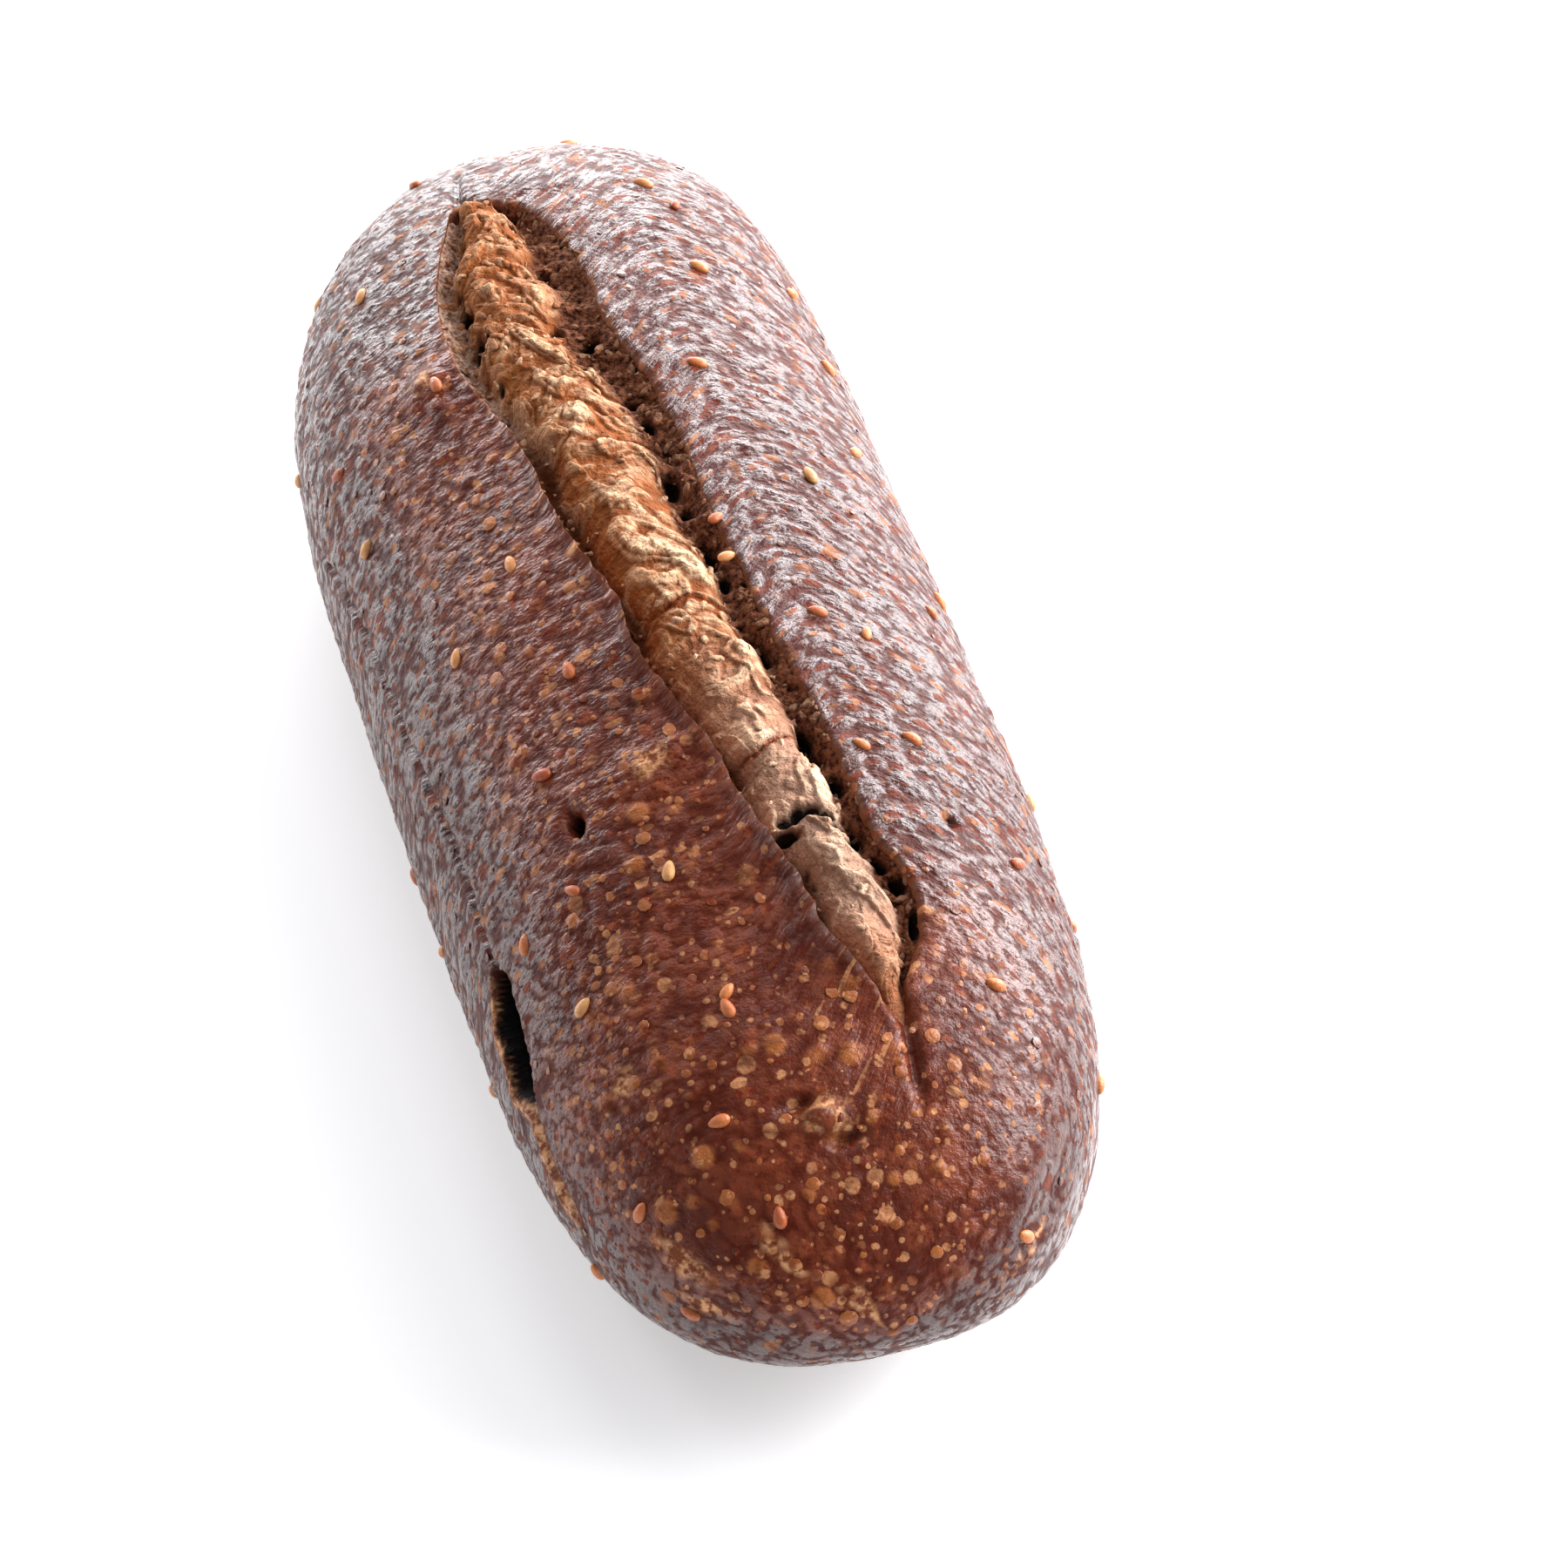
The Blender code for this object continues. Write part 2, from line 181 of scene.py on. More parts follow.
# %% The two lips of the slash
LEFT_LIP = [
    (0.0965, -0.0146),
    (0.091, -0.0168),
    (0.083, -0.0198),
    (0.073, -0.0231),
    (0.062, -0.0246),
    (0.046, -0.0236),
    (0.027, -0.0195),
    (0.005, -0.0176),
    (-0.011, -0.0142),
    (-0.031, -0.0119),
    (-0.043, -0.0078),
    (-0.056, -0.0055),
    (-0.070, -0.0010),
    (-0.084, 0.0023),
    (-0.091, 0.0068),
    (-0.097, 0.0104),
]
RIGHT_LIP = [
    (0.0965, -0.0134),
    (0.0940, -0.0100),
    (0.090, -0.0050),
    (0.085, -0.0018),
    (0.079, 0.0001),
    (0.067, 0.0017),
    (0.050, 0.0026),
    (0.038, 0.0053),
    (0.016, 0.0070),
    (-0.003, 0.0080),
    (-0.022, 0.0096),
    (-0.039, 0.0120),
    (-0.055, 0.0139),
    (-0.065, 0.0148),
    (-0.072, 0.0178),
    (-0.082, 0.0176),
    (-0.090, 0.0132),
    (-0.097, 0.0106),
]
SLASH_FAR = 0.098
SLASH_NEAR = -0.097
FAR_FADE, NEAR_FADE = 0.009, 0.014
CLOSED_BAND = 0.006
TORN_EDGES = ((0.009, 0.0006), (0.0026, 0.0005))


def smooth_curve(points, where):
    """The smooth curve through (place, height) points, read at an array of places."""
    places, heights = np.array(sorted(points)).T
    slopes = np.gradient(heights, places)
    where = np.clip(where, places[0], places[-1])
    i = np.clip(np.searchsorted(places, where, side="right") - 1, 0, len(places) - 2)
    span = places[i + 1] - places[i]
    s = (where - places[i]) / span
    return (
        (2 * s**3 - 3 * s**2 + 1) * heights[i]
        + (s**3 - 2 * s**2 + s) * span * slopes[i]
        + (3 * s**2 - 2 * s**3) * heights[i + 1]
        + (s**3 - s**2) * span * slopes[i + 1]
    )


def angle_at(t, x):
    """Angle at which the crown of the section at t is over x."""
    share = np.clip((x - middle_line(t)) / np.maximum(half_width(t), 1e-6), -0.999, 0.999)
    return np.degrees(np.arccos(np.copysign(np.abs(share) ** (CROWN_POWER / 2), share)))


def openness(y):
    """1 where the slash is open, falling to 0 at its two ends."""
    return smooth_step((SLASH_FAR - y) / FAR_FADE) * smooth_step((y - SLASH_NEAR) / NEAR_FADE)


def ear(y):
    """How far the left lip stands up: fully in the near half and only a little in the far half."""
    return openness(y) * (0.25 + 0.75 * smooth_step((0.040 - y) / 0.03))


def lip_angles(y, t, left, right):
    """Angles of two lips given by their x. Past the slash's ends they close to a narrow band."""
    held = np.clip(y, SLASH_NEAR, SLASH_FAR)
    held_t = 2 * held / LENGTH
    middle, half = (left + right) / 2, np.maximum((right - left) / 2, CLOSED_BAND / 2)
    narrowing = np.where(y == held, 1.0, half_width(t) / half_width(held_t))
    middle = middle_line(t) + (middle - middle_line(held_t)) * narrowing
    return angle_at(t, middle - half * narrowing), angle_at(t, middle + half * narrowing)


def lips(t):
    """Angles of the left and the right lip at each t, with their torn edges."""
    y = LENGTH / 2 * t
    left, right = smooth_curve(LEFT_LIP, y), smooth_curve(RIGHT_LIP, y)
    for size, height in TORN_EDGES:
        torn = np.array([[noise.noise(Vector((v / size, side, 0))) for v in y] for side in (3.1, 8.7)])
        left = left + height * torn[0] * openness(y)
        right = right + height * torn[1] * openness(y)
    return lip_angles(y, t, left, right)


widest = smooth_curve(RIGHT_LIP, 0.05) - smooth_curve(LEFT_LIP, 0.05)
print("slash, mm:", round(1000 * (SLASH_FAR - SLASH_NEAR)), "long,", round(1000 * widest, 1), "wide")

# %% [markdown]
# Baked dough is rough at every size: slow lumps from shaping, wrinkles where the skin dried and was pulled
# round the loaf, and small round blisters. Two kinds of pattern make them. Gradient noise gives the lumps
# and wrinkles. For blisters, space is cut into cells, each cell holds one ball, and where a ball pokes
# through the skin it leaves a dome. Both are written for whole arrays, because a call for each point would
# be slow.

# %% Two patterns of relief
BALL_RADII = (0.25, 0.5)


def random_table(seed, width):
    return np.random.default_rng(seed).random((256, width))


def cell_key(cell, seed):
    """A number from 0 to 255 for each cell, scrambled so that neighbours have nothing in common."""
    order = np.random.default_rng(seed).permutation(256)
    key = order[cell[:, 0] & 255]
    key = order[(key + cell[:, 1]) & 255]
    return order[(key + cell[:, 2]) & 255]


def ripple(places, seed=1):
    """Gradient noise at (N, 3) places, roughly -1 to 1, with hills about one unit wide."""
    ways = random_table(seed, 3) - 0.5
    ways /= np.linalg.norm(ways, axis=1, keepdims=True)
    cell = np.floor(places).astype(int)
    inside = places - cell
    fade = inside**3 * (inside * (inside * 6 - 15) + 10)
    total = np.zeros(len(places))
    for corner in itertools.product((0, 1), repeat=3):
        corner = np.array(corner)
        weight = np.prod(np.where(corner, fade, 1 - fade), axis=1)
        total += weight * np.sum(ways[cell_key(cell + corner, seed)] * (inside - corner), axis=1)
    return 1.7 * total


def cushions(places, seed):
    """Noise folded at its middle, which leaves round cushions between sharp creases."""
    return 2.6 * np.abs(ripple(places, seed)) - 0.8


def domes(places, seed, share=1.0):
    """Height of the balls that poke through at (N, 3) places, and a random tone for each ball."""
    table = random_table(seed, 6)
    cell = np.floor(places).astype(int)
    height = np.zeros(len(places))
    tone = np.zeros(len(places))
    for step in itertools.product((-1, 0, 1), repeat=3):
        own = table[cell_key(cell + np.array(step), seed)]
        centre = cell + np.array(step) + 0.5 + 0.7 * (own[:, :3] - 0.5)
        radius = BALL_RADII[0] + (BALL_RADII[1] - BALL_RADII[0]) * own[:, 3] ** 2
        square = radius**2 - np.sum((places - centre) ** 2, axis=1)
        rise = np.where(own[:, 4] < share, np.sqrt(np.clip(square, 0.0, None)), 0.0)
        tone = np.where(rise > height, own[:, 5], tone)
        height = np.maximum(height, rise)
    return height, tone


sample = np.random.default_rng(5).random((20000, 3)) * 40
print("ripple spans", np.round(np.percentile(ripple(sample), (1, 99)), 2))
print("domes cover", round(float(np.mean(domes(sample, 3)[0] > 0)), 2), "of space")

# %% [markdown]
# Now the crust's relief. The wrinkles run round the loaf, and on the right side they slant as well, so they
# are noise that is squeezed along the loaf and stretched round it. At the two ends that direction has no
# meaning, and there the noise is even. A few single marks are listed one by one: a clump of blisters beside
# the ear, a raised flake near the near end, the deep pore in the left shoulder and a scuffed dent low on
# the right.

# %% Relief of the crust
ROUND_RADIUS = 0.043
LUMP_SIZE, LUMP_HEIGHT = 0.034, 0.0011
PUCKER_SIZE, PUCKER_HEIGHT = 0.009, 0.00028
WRINKLE_ALONG, WRINKLE_ROUND, WRINKLE_HEIGHT = 0.0025, 0.0038, 0.00022
CREPE_ALONG, CREPE_ROUND, CREPE_HEIGHT = 0.0012, 0.0019, 0.00011
SLANT, SLANT_FROM, SLANT_FADE = 0.40, 100.0, 30.0
END_FROM, END_FADE = 0.80, 0.14
SWAY_SIZE, SWAY = 0.009, 0.0012
BLISTER_CELL, BLISTER_HEIGHT = 0.0042, 0.00045
PIMPLE_CELL, PIMPLE_HEIGHT = 0.0024, 0.00024
EAR_REACH, EAR_LIFT = 0.012, 0.0021
TAIL_DEPTH, TAIL_LENGTH, TAIL_HALF = 0.0018, 0.014, 0.0011

# Single marks: (along Y, angle in degrees, radius along, radius round, height)
MARKS = [
    (0.0500, 122.7, 0.0042, 0.0040, 0.0018),
    (0.0430, 121.0, 0.0022, 0.0022, 0.0010),
    (-0.0446, 107.5, 0.0045, 0.0075, 0.0013),
    (-0.1074, 96.8, 0.0022, 0.0030, 0.0020),
    (-0.1108, 93.8, 0.0010, 0.0030, -0.0021),
    (-0.1048, 101.0, 0.0009, 0.0034, -0.0018),
    (-0.1180, 20.0, 0.0070, 0.0090, -0.0012),
    (-0.0480, 125.7, 0.0021, 0.0014, -0.0052),
    (-0.0618, 57.6, 0.0012, 0.0011, -0.0020),
]

# Tan scuffs, where a blister broke or flour stuck: (along Y, angle, radius along, radius round)
SCUFFS = [
    (-0.1075, 96.2, 0.0026, 0.0042),
    (-0.1163, 156.9, 0.0040, 0.0050),
    (-0.1202, 172.3, 0.0030, 0.0040),
    (-0.1290, 110.8, 0.0020, 0.0060),
    (-0.1218, 124.2, 0.0036, 0.0036),
    (-0.1232, 13.4, 0.0030, 0.0040),
    (-0.0906, 137.6, 0.0030, 0.0034),
    (-0.0446, 107.5, 0.0026, 0.0044),
    (0.0500, 122.7, 0.0026, 0.0022),
]


def marks(y, angle):
    height = np.zeros_like(y)
    for mark_y, mark_angle, along, across, rise in MARKS:
        arc = np.radians(angle - mark_angle) * WIDTH / 2
        height += rise * np.exp(-((y - mark_y) / along) ** 2 - (arc / across) ** 2)
    return height


def scuffs(y, angle):
    """1 in the middle of a tan scuff and 0 off it."""
    tan = np.zeros_like(y)
    for scuff_y, scuff_angle, along, across in SCUFFS:
        arc = np.radians(angle - scuff_angle) * WIDTH / 2
        tan = np.maximum(tan, np.exp(-((y - scuff_y) / along) ** 2 - (arc / across) ** 2))
    return tan


def tail_depth(y):
    """Depth of the thin crack in which the slash runs out past its two ends."""
    middle = (SLASH_FAR + SLASH_NEAR) / 2
    past = np.abs(y - middle) - (SLASH_FAR - SLASH_NEAR) / 2
    return TAIL_DEPTH * smooth_step(1.5 * (1.0 - np.abs(past) / TAIL_LENGTH))


def blistered(y, angle):
    """1 where blisters crowd, on the near dome and on the band left of the slash, and 0 on the flanks."""
    near_dome = smooth_step((-0.058 - y) / 0.045) * smooth_step((angle - 25) / 60)
    near_dome = near_dome * smooth_step((185 - angle) / 40)
    band = smooth_step((angle - 88) / 10) * smooth_step((150 - angle) / 18) * smooth_step((0.075 - y) / 0.03)
    return np.maximum(near_dome, 0.8 * band)


def calm(y):
    """1 on the near dome, whose skin stayed tight and smooth."""
    return smooth_step((-0.068 - y) / 0.03)


def rounding(t):
    """1 on the round ends, where the skin has no direction of its own, and 0 between them."""
    return smooth_step((np.abs(t) - END_FROM) / END_FADE)


def slant(angle):
    return SLANT * smooth_step((SLANT_FROM - angle) / SLANT_FADE)


def crust_relief(points, t, angle):
    """Height of the crust's own relief, and how far a point is on a blister, on a pimple and in a crease."""
    y = points[:, 1]
    arc = np.radians(angle) * ROUND_RADIUS
    endness = rounding(t)
    flow = SWAY * ripple(points / SWAY_SIZE, 21) - slant(angle) * arc
    drawn = np.stack([(y + flow) / WRINKLE_ALONG, arc / WRINKLE_ROUND, 0 * y + 0.5], axis=1)
    fine = np.stack([(y + flow) / CREPE_ALONG, arc / CREPE_ROUND, 0 * y + 7.5], axis=1)
    wrinkle = (1 - endness) * cushions(drawn, 22) + endness * cushions(points / 0.0032, 23)
    crepe = (1 - endness) * ripple(fine, 24) + endness * ripple(points / 0.0015, 25)
    patchy = (0.85 + 0.45 * ripple(points / 0.016, 26)) * (1 - 0.75 * calm(y))
    blister, tone = domes(points / BLISTER_CELL, 27, share=0.55)
    blister *= 0.35 + 0.65 * blistered(y, angle)
    pimple, _ = domes(points / PIMPLE_CELL, 28, share=0.6)
    height = patchy * (WRINKLE_HEIGHT * wrinkle + CREPE_HEIGHT * crepe)
    height += BLISTER_HEIGHT * blister / BALL_RADII[1] * (0.5 + 0.5 * tone)
    height += PIMPLE_HEIGHT * pimple
    on_blister = np.clip(3.0 * blister, 0, 1) * tone
    on_pimple = np.clip(3.0 * pimple, 0, 1)
    # The last value is the crease mark, where the material paints shade into the crust's colour.
    return height, on_blister, on_pimple, np.clip(-1.25 * wrinkle - 0.5 * crepe, 0, 1)


print("marks placed by hand:", len(MARKS), "and scuffs:", len(SCUFFS))

# %% [markdown]
# Low on the left flank the dough also burst where it had no cut to follow. The burst is a shallow crack
# that opens into a cleft near the near end, with a pale torn lower edge. The cleft's inside is painted near
# black as painted shade.

# %% The burst seam on the left flank
SEAM_PATH = [
    (0.060, 178.0),
    (0.032, 169.0),
    (-0.010, 164.0),
    (-0.045, 162.5),
    (-0.066, 165.0),
    (-0.084, 174.0),
    (-0.100, 182.0),
]
CRACK_DEPTH, CRACK_FADE = 0.0009, 0.010
CRACK_FAR, CRACK_NEAR = 0.056, -0.100
CLEFT_DEPTH, CLEFT_MIDDLE, CLEFT_HALF = 0.0075, -0.067, 0.0135
CRACK_HALF, CLEFT_WIDTH, DARK_RIM = 0.0008, 0.0030, 0.0005
DARK_FROM, DARK_FADE = 0.0005, 0.0012
WANDER_SIZE, WANDER, FINE_WANDER = 0.006, 0.0008, 0.0005
FRAYED_FROM, FRAYED_FADE = -0.070, 0.006
EDGE_HALF, FRAYED_HALF = 0.0012, 0.0008


def seam(y, angle):
    """Depth of the burst seam at skin points, how pale its torn edge is there, and how dark its inside is
    painted, as painted shade.
    """
    along = np.stack([y / WANDER_SIZE, 0 * y, 0 * y + 4.2], axis=1)
    wander = WANDER * ripple(along, 31) + FINE_WANDER * ripple(3.1 * along, 32)
    arc = np.radians(angle - smooth_curve(SEAM_PATH, y)) * WIDTH / 2 + wander
    cracked = smooth_step((CRACK_FAR - y) / CRACK_FADE) * smooth_step((y - CRACK_NEAR) / CRACK_FADE)
    cleft = smooth_step(1.6 * (1.0 - np.abs(y - CLEFT_MIDDLE) / CLEFT_HALF))
    half = CRACK_HALF + CLEFT_WIDTH * cleft
    off_middle = np.abs(arc - half * 0.6 * cleft)
    across = np.exp(-(off_middle / half) ** 3)
    # How deep the cleft's shade is, which becomes painted shade inside it.
    shaded = CLEFT_DEPTH * cleft * np.exp(-(off_middle / (half + DARK_RIM)) ** 3)
    dark = smooth_step((shaded - DARK_FROM) / DARK_FADE)
    depth = (CRACK_DEPTH * cracked + CLEFT_DEPTH * cleft) * across
    frayed = np.maximum(cleft, smooth_step((FRAYED_FROM - y) / FRAYED_FADE))
    edge = np.exp(-((arc - 2.0 * half) / (EDGE_HALF + FRAYED_HALF * frayed)) ** 2)
    edge = cracked * edge * (0.10 + 0.90 * frayed)
    return depth, edge, dark


cleft_y = np.array([CLEFT_MIDDLE])
cleft_depth, _, _ = seam(cleft_y, smooth_curve(SEAM_PATH, cleft_y))
print("the cleft's depth, mm:", np.round(1000 * cleft_depth, 1))

# %% [markdown]
# One function turns t, angle and a lift into a finished point of the skin. The grid then needs rows and
# columns that are evenly spaced over the real surface, not in t and angle, or the ends would be crowded and
# the flanks coarse. So each is spaced by measured length.

# %% A point of the skin, and evenly spaced rows and columns
RESTING_ZONE = 0.006
SUNK_FULL = 0.002
FRAY_SIZE, FRAY_RISE, FRAY_UNEVEN = 0.0022, 0.0006, 0.0005
PIT_FROM, PIT_FADE = 0.0013, 0.0014
ROWS = 500
STEEPEST_EDGE = 262.0


def skin(t, angle, left_lip, lift=0.0, slide=0.0):
    """Finished skin points for flat arrays of t and angle, with their marks for the material."""
    points = section(t, angle)
    y = points[:, 1]
    places = [Vector(p) for p in points]
    lumps = LUMP_HEIGHT * np.array([noise.noise(p / LUMP_SIZE) for p in places])
    lumps += PUCKER_HEIGHT * np.array([noise.noise(p / PUCKER_SIZE) for p in places])
    hand_made = marks(y, angle)
    arc = np.radians(angle - left_lip) * WIDTH / 2
    swell = np.where((arc >= 0) & (arc <= EAR_REACH), EAR_LIFT * (1 - arc / EAR_REACH) ** 2, 0) * ear(y)
    rough, blister, pimple, crease = crust_relief(points, t, angle)
    sunk, torn, dark = seam(y, angle)
    resting = smooth_step(points[:, 2] / RESTING_ZONE)
    raised = lift + swell + hand_made + lumps + rough * (1 - np.clip(sunk / SUNK_FULL, 0, 1))
    ragged = ripple(points / FRAY_SIZE, 33)
    raised = raised - sunk + (FRAY_RISE + FRAY_UNEVEN * ragged) * torn
    torn = np.maximum(torn, scuffs(y, angle) * np.clip(0.75 + 1.2 * ragged, 0, 1))
    moved = points + outward(t, angle) * (raised * resting)[:, None]
    moved[:, 0] += slide
    moved[:, 2] = np.maximum(moved[:, 2], 0.0)
    # Painted shade: the cleft's inside and the deep pits are marked, in the sunk mark, to be painted near
    # black.
    pit = smooth_step((-hand_made - PIT_FROM) / PIT_FADE)
    deep = np.maximum(dark, pit)
    found = {"blister": blister, "pimple": pimple, "crease": crease, "torn": torn, "sunk": deep}
    return moved + nudge, found


def even_rows(count):
    """Values of t whose rings are evenly spaced along the loaf's side."""
    t = np.sin(np.linspace(-math.pi / 2, math.pi / 2, 4001))
    side = np.stack([half_width(t), LENGTH / 2 * t], axis=1)
    length = np.concatenate([[0], np.cumsum(np.linalg.norm(np.diff(side, axis=0), axis=1))])
    return np.interp(np.linspace(0, length[-1], count + 1)[1:-1], length, t)


def even_angles(t, start, end, count):
    """For each t, angles from start to end that are evenly spaced round the section."""
    shares = np.linspace(0, 1, 361)
    angles = start[:, None] + (end - start)[:, None] * shares
    ring = section(np.repeat(t, 361), angles.ravel()).reshape(len(t), 361, 3)
    length = np.cumsum(np.linalg.norm(np.diff(ring, axis=1), axis=2), axis=1)
    length = np.concatenate([np.zeros((len(t), 1)), length], axis=1)
    wanted = np.linspace(0, 1, count)
    return np.stack([np.interp(wanted * own[-1], own, turn) for own, turn in zip(length, angles)])


def base_edges(t):
    """Angle at which each section reaches the table, so that one column follows the flat's rim."""
    reach = BELLY_HEIGHT / ((BELLY_HEIGHT + BASE_SINK) * np.maximum(shoulder(t, *UNDERSIDE_POWERS), 1e-6))
    sine = np.clip(reach ** (FOOT_POWER / 2), 0.0, math.sin(math.radians(STEEPEST_EDGE - 180)))
    return 180 + np.degrees(np.arcsin(sine))


rows = even_rows(ROWS)
print("rows:", len(rows), "about", round(1000 * LENGTH / 2 * (rows[250] - rows[249]), 2), "mm apart")

# %% [markdown]
# The crust is one closed skin with a trench where the slash is. It goes round like this: right flank, right
# lip, trench, left lip with its overhanging ear, left flank, and back under the base. Making it whole first
# gives every point its true normal. It is then cut into three pieces that keep those normals, so no seam
# shows between them. Each stays small enough to print.

# %% Columns of the whole skin
FLANK_COLUMNS = 176
BASE_COLUMNS = 44
TRENCH_DEPTH = 0.0090

# From the right lip down to the trench's floor: (share of the way to the middle, lift, slide, paleness)
RIGHT_EDGE = [
    (0.000, 0.0000, 0.0000, 0.05),
    (0.010, -0.0004, -0.0003, 0.20),
    (0.020, -0.0011, -0.0005, 0.35),
    (0.035, -0.0024, 0.0002, 0.30),
    (0.060, -0.0080, 0.0006, 0.20),
]
# From the trench's floor up to the left lip, under the ear
LEFT_EDGE = [
    (0.100, -0.0080, -0.0014, 0.10),
    (0.040, -0.0026, -0.0014, 0.15),
    (0.020, 0.0000, -0.0010, 0.30),
    (0.010, 0.0016, 0.0006, 0.50),
    (0.000, 0.0013, 0.0009, 0.08),
]


def trench_columns(t, left, right):
    """Angle, lift, slide and paleness of each column between the two lips."""
    opened, curled = openness(LENGTH / 2 * t), ear(LENGTH / 2 * t)
    middle = (left + right) / 2
    columns = []
    for k, (share, lift, slide, pale) in enumerate(RIGHT_EDGE):
        share = share * opened + (k / 5) * (1 - opened)
        columns.append((right + (middle - right) * share, lift * opened, slide * opened, pale * opened))
    columns.append((middle, -TRENCH_DEPTH * opened, 0 * opened, opened))
    for k, (share, lift, slide, pale) in enumerate(LEFT_EDGE):
        share = share * opened + ((4 - k) / 5) * (1 - opened)
        strength = np.where(lift > 0, curled, opened)
        columns.append((left + (middle - left) * share, lift * strength, slide * curled, pale * opened))
    return columns


left_lip, right_lip = lips(rows)
base_edge = base_edges(rows)
right_flank = even_angles(rows, 180 - base_edge, right_lip, FLANK_COLUMNS)[:, :-1]
left_flank = even_angles(rows, left_lip, base_edge, FLANK_COLUMNS)[:, 1:]
under = even_angles(rows, base_edge, 540 - base_edge, BASE_COLUMNS)[:, 1:-1]
trench = trench_columns(rows, left_lip, right_lip)

angles, lifts, slides, pales = (
    np.concatenate([right_flank * own, np.stack(values, axis=1), left_flank * own, under * own], axis=1)
    for own, values in zip((1, 0, 0, 0), zip(*trench))
)
across_band = np.radians(angles - ((left_lip + right_lip) / 2)[:, None]) * WIDTH / 2
lifts = lifts - tail_depth(LENGTH / 2 * rows)[:, None] * np.exp(-(across_band / TAIL_HALF) ** 2)
print("the whole skin has", angles.shape[0], "rings of", angles.shape[1], "points")

# %% [markdown]
# Now the numbers become meshes. A helper joins rows of points into faces that look outwards and closes the
# two tips. Each value worked out for the points, such as how far a point is on a blister, is stored as an
# attribute, and the materials will read it. The whole skin is built only to take its normals.

# %% From grid to mesh
def grid_faces(row_count, width, first, last):
    """Outward-facing quads between columns first..last of a grid whose rows are `width` points long."""
    row = np.arange(row_count - 1)[:, None] * width
    column = np.arange(first, last)[None, :]
    after = (column + 1) % width
    quads = np.stack([row + column, row + width + column, row + width + after, row + after], axis=-1)
    return quads.reshape(-1, 4)


def tip_faces(row_count, width, first, last, near_tip, far_tip):
    """Triangles that close the near and the far tip for the same columns."""
    column = np.arange(first, last)
    after = (column + 1) % width
    top = (row_count - 1) * width
    near = np.stack([column, after, np.full_like(column, near_tip)], axis=1)
    far = np.stack([top + after, top + column, np.full_like(column, far_tip)], axis=1)
    return np.concatenate([near, far])


def store(mesh, label, values):
    """Keeps a number or a vector for each point of a mesh."""
    kind, field = ("FLOAT_VECTOR", "vector") if values.ndim == 2 else ("FLOAT", "value")
    mesh.attributes.new(label, kind, "POINT").data.foreach_set(field, values.astype(np.float32).ravel())


def triangles(obj):
    return sum(len(p.vertices) - 2 for p in obj.data.polygons)


def make_mesh(name, points, face_lists, attributes, normals=None):
    """An object in the scene from points and faces, keeping only the points that its faces use."""
    used = np.unique(np.concatenate([f.ravel() for f in face_lists]))
    new_place = np.zeros(len(points), int)
    new_place[used] = np.arange(len(used))
    mesh = bpy.data.meshes.new(name)
    mesh.from_pydata(points[used], [], [tuple(f) for faces in face_lists for f in new_place[faces].tolist()])
    mesh.shade_smooth()
    for label, values in attributes.items():
        store(mesh, label, values[used])
    if normals is not None:
        mesh.normals_split_custom_set_from_vertices(normals[used])
    return in_scene(name, mesh)


def own_normals(points, face_lists):
    """Smooth normals of a whole surface, which its separate pieces can then share."""
    mesh = make_mesh("whole", points, face_lists, {}).data
    normals = np.zeros(len(points) * 3)
    mesh.vertices.foreach_get("normal", normals)
    bpy.data.meshes.remove(mesh)
    return normals.reshape(-1, 3)


row_count, width = angles.shape
flat_t = np.repeat(rows, width)
flat_lip = np.repeat(left_lip, width)
crust_points, crust_marks = skin(flat_t, angles.ravel(), flat_lip, lifts.ravel(), slides.ravel())
crust_marks["edge"] = pales.ravel()
crust_marks["end"] = np.maximum(rounding(flat_t), smooth_step((0.004 - crust_points[:, 2]) / 0.003))
crust_marks["calm"] = calm(crust_points[:, 1])
crust_marks["crowd"] = blistered(crust_points[:, 1], angles.ravel())
arcs = np.radians(angles.ravel()) * ROUND_RADIUS
slanted = crust_points[:, 1] - slant(angles.ravel()) * arcs
crust_marks["wrap"] = np.stack([arcs, slanted, 0 * arcs], axis=1)
tips = np.array([section(np.array(end), np.array(0.0)) + nudge for end in (-1.0, 1.0)])
crust_points = np.concatenate([crust_points, tips])
crust_marks = {label: np.append(v, v[:2], axis=0) for label, v in crust_marks.items()}
near_tip, far_tip = len(crust_points) - 2, len(crust_points) - 1
whole_faces = [
    grid_faces(row_count, width, 0, width),
    tip_faces(row_count, width, 0, width, near_tip, far_tip),
]
crust_normals = own_normals(crust_points, whole_faces)
print("points in the skin:", len(crust_points))

# %% [markdown]
# The closed skin is cut along columns: one cut runs along the trench's floor and the others along the flat's
# rim. Each piece takes its share of the normals with it.

# %% Three pieces of crust
middle_column = right_flank.shape[1] + len(RIGHT_EDGE)
left_end = middle_column + len(LEFT_EDGE) + left_flank.shape[1]
crust_pieces = []
for name, first, last in (
    ("crust_right", 0, middle_column),
    ("crust_left", middle_column, left_end),
    ("base", left_end, width),
):
    faces = [
        grid_faces(row_count, width, first, last),
        tip_faces(row_count, width, first, last, near_tip, far_tip),
    ]
    crust_pieces.append(make_mesh(name, crust_points, faces, crust_marks, crust_normals))
    print(name, "triangles:", triangles(crust_pieces[-1]))

# %% [markdown]
# The crumb is what the burst slash shows. Stretched dough tears in steps: one soft fold after another slid
# out from under the last, so a ridge of overlapping scales runs down the middle. A ragged gap opens on each
# side of it, and beyond the gap the torn inside of each lip rises as a wall. Fine fibres run across the
# ridge, bowed like the folds. All of it is relief on one strip, which is closed underneath and sits in the
# trench.

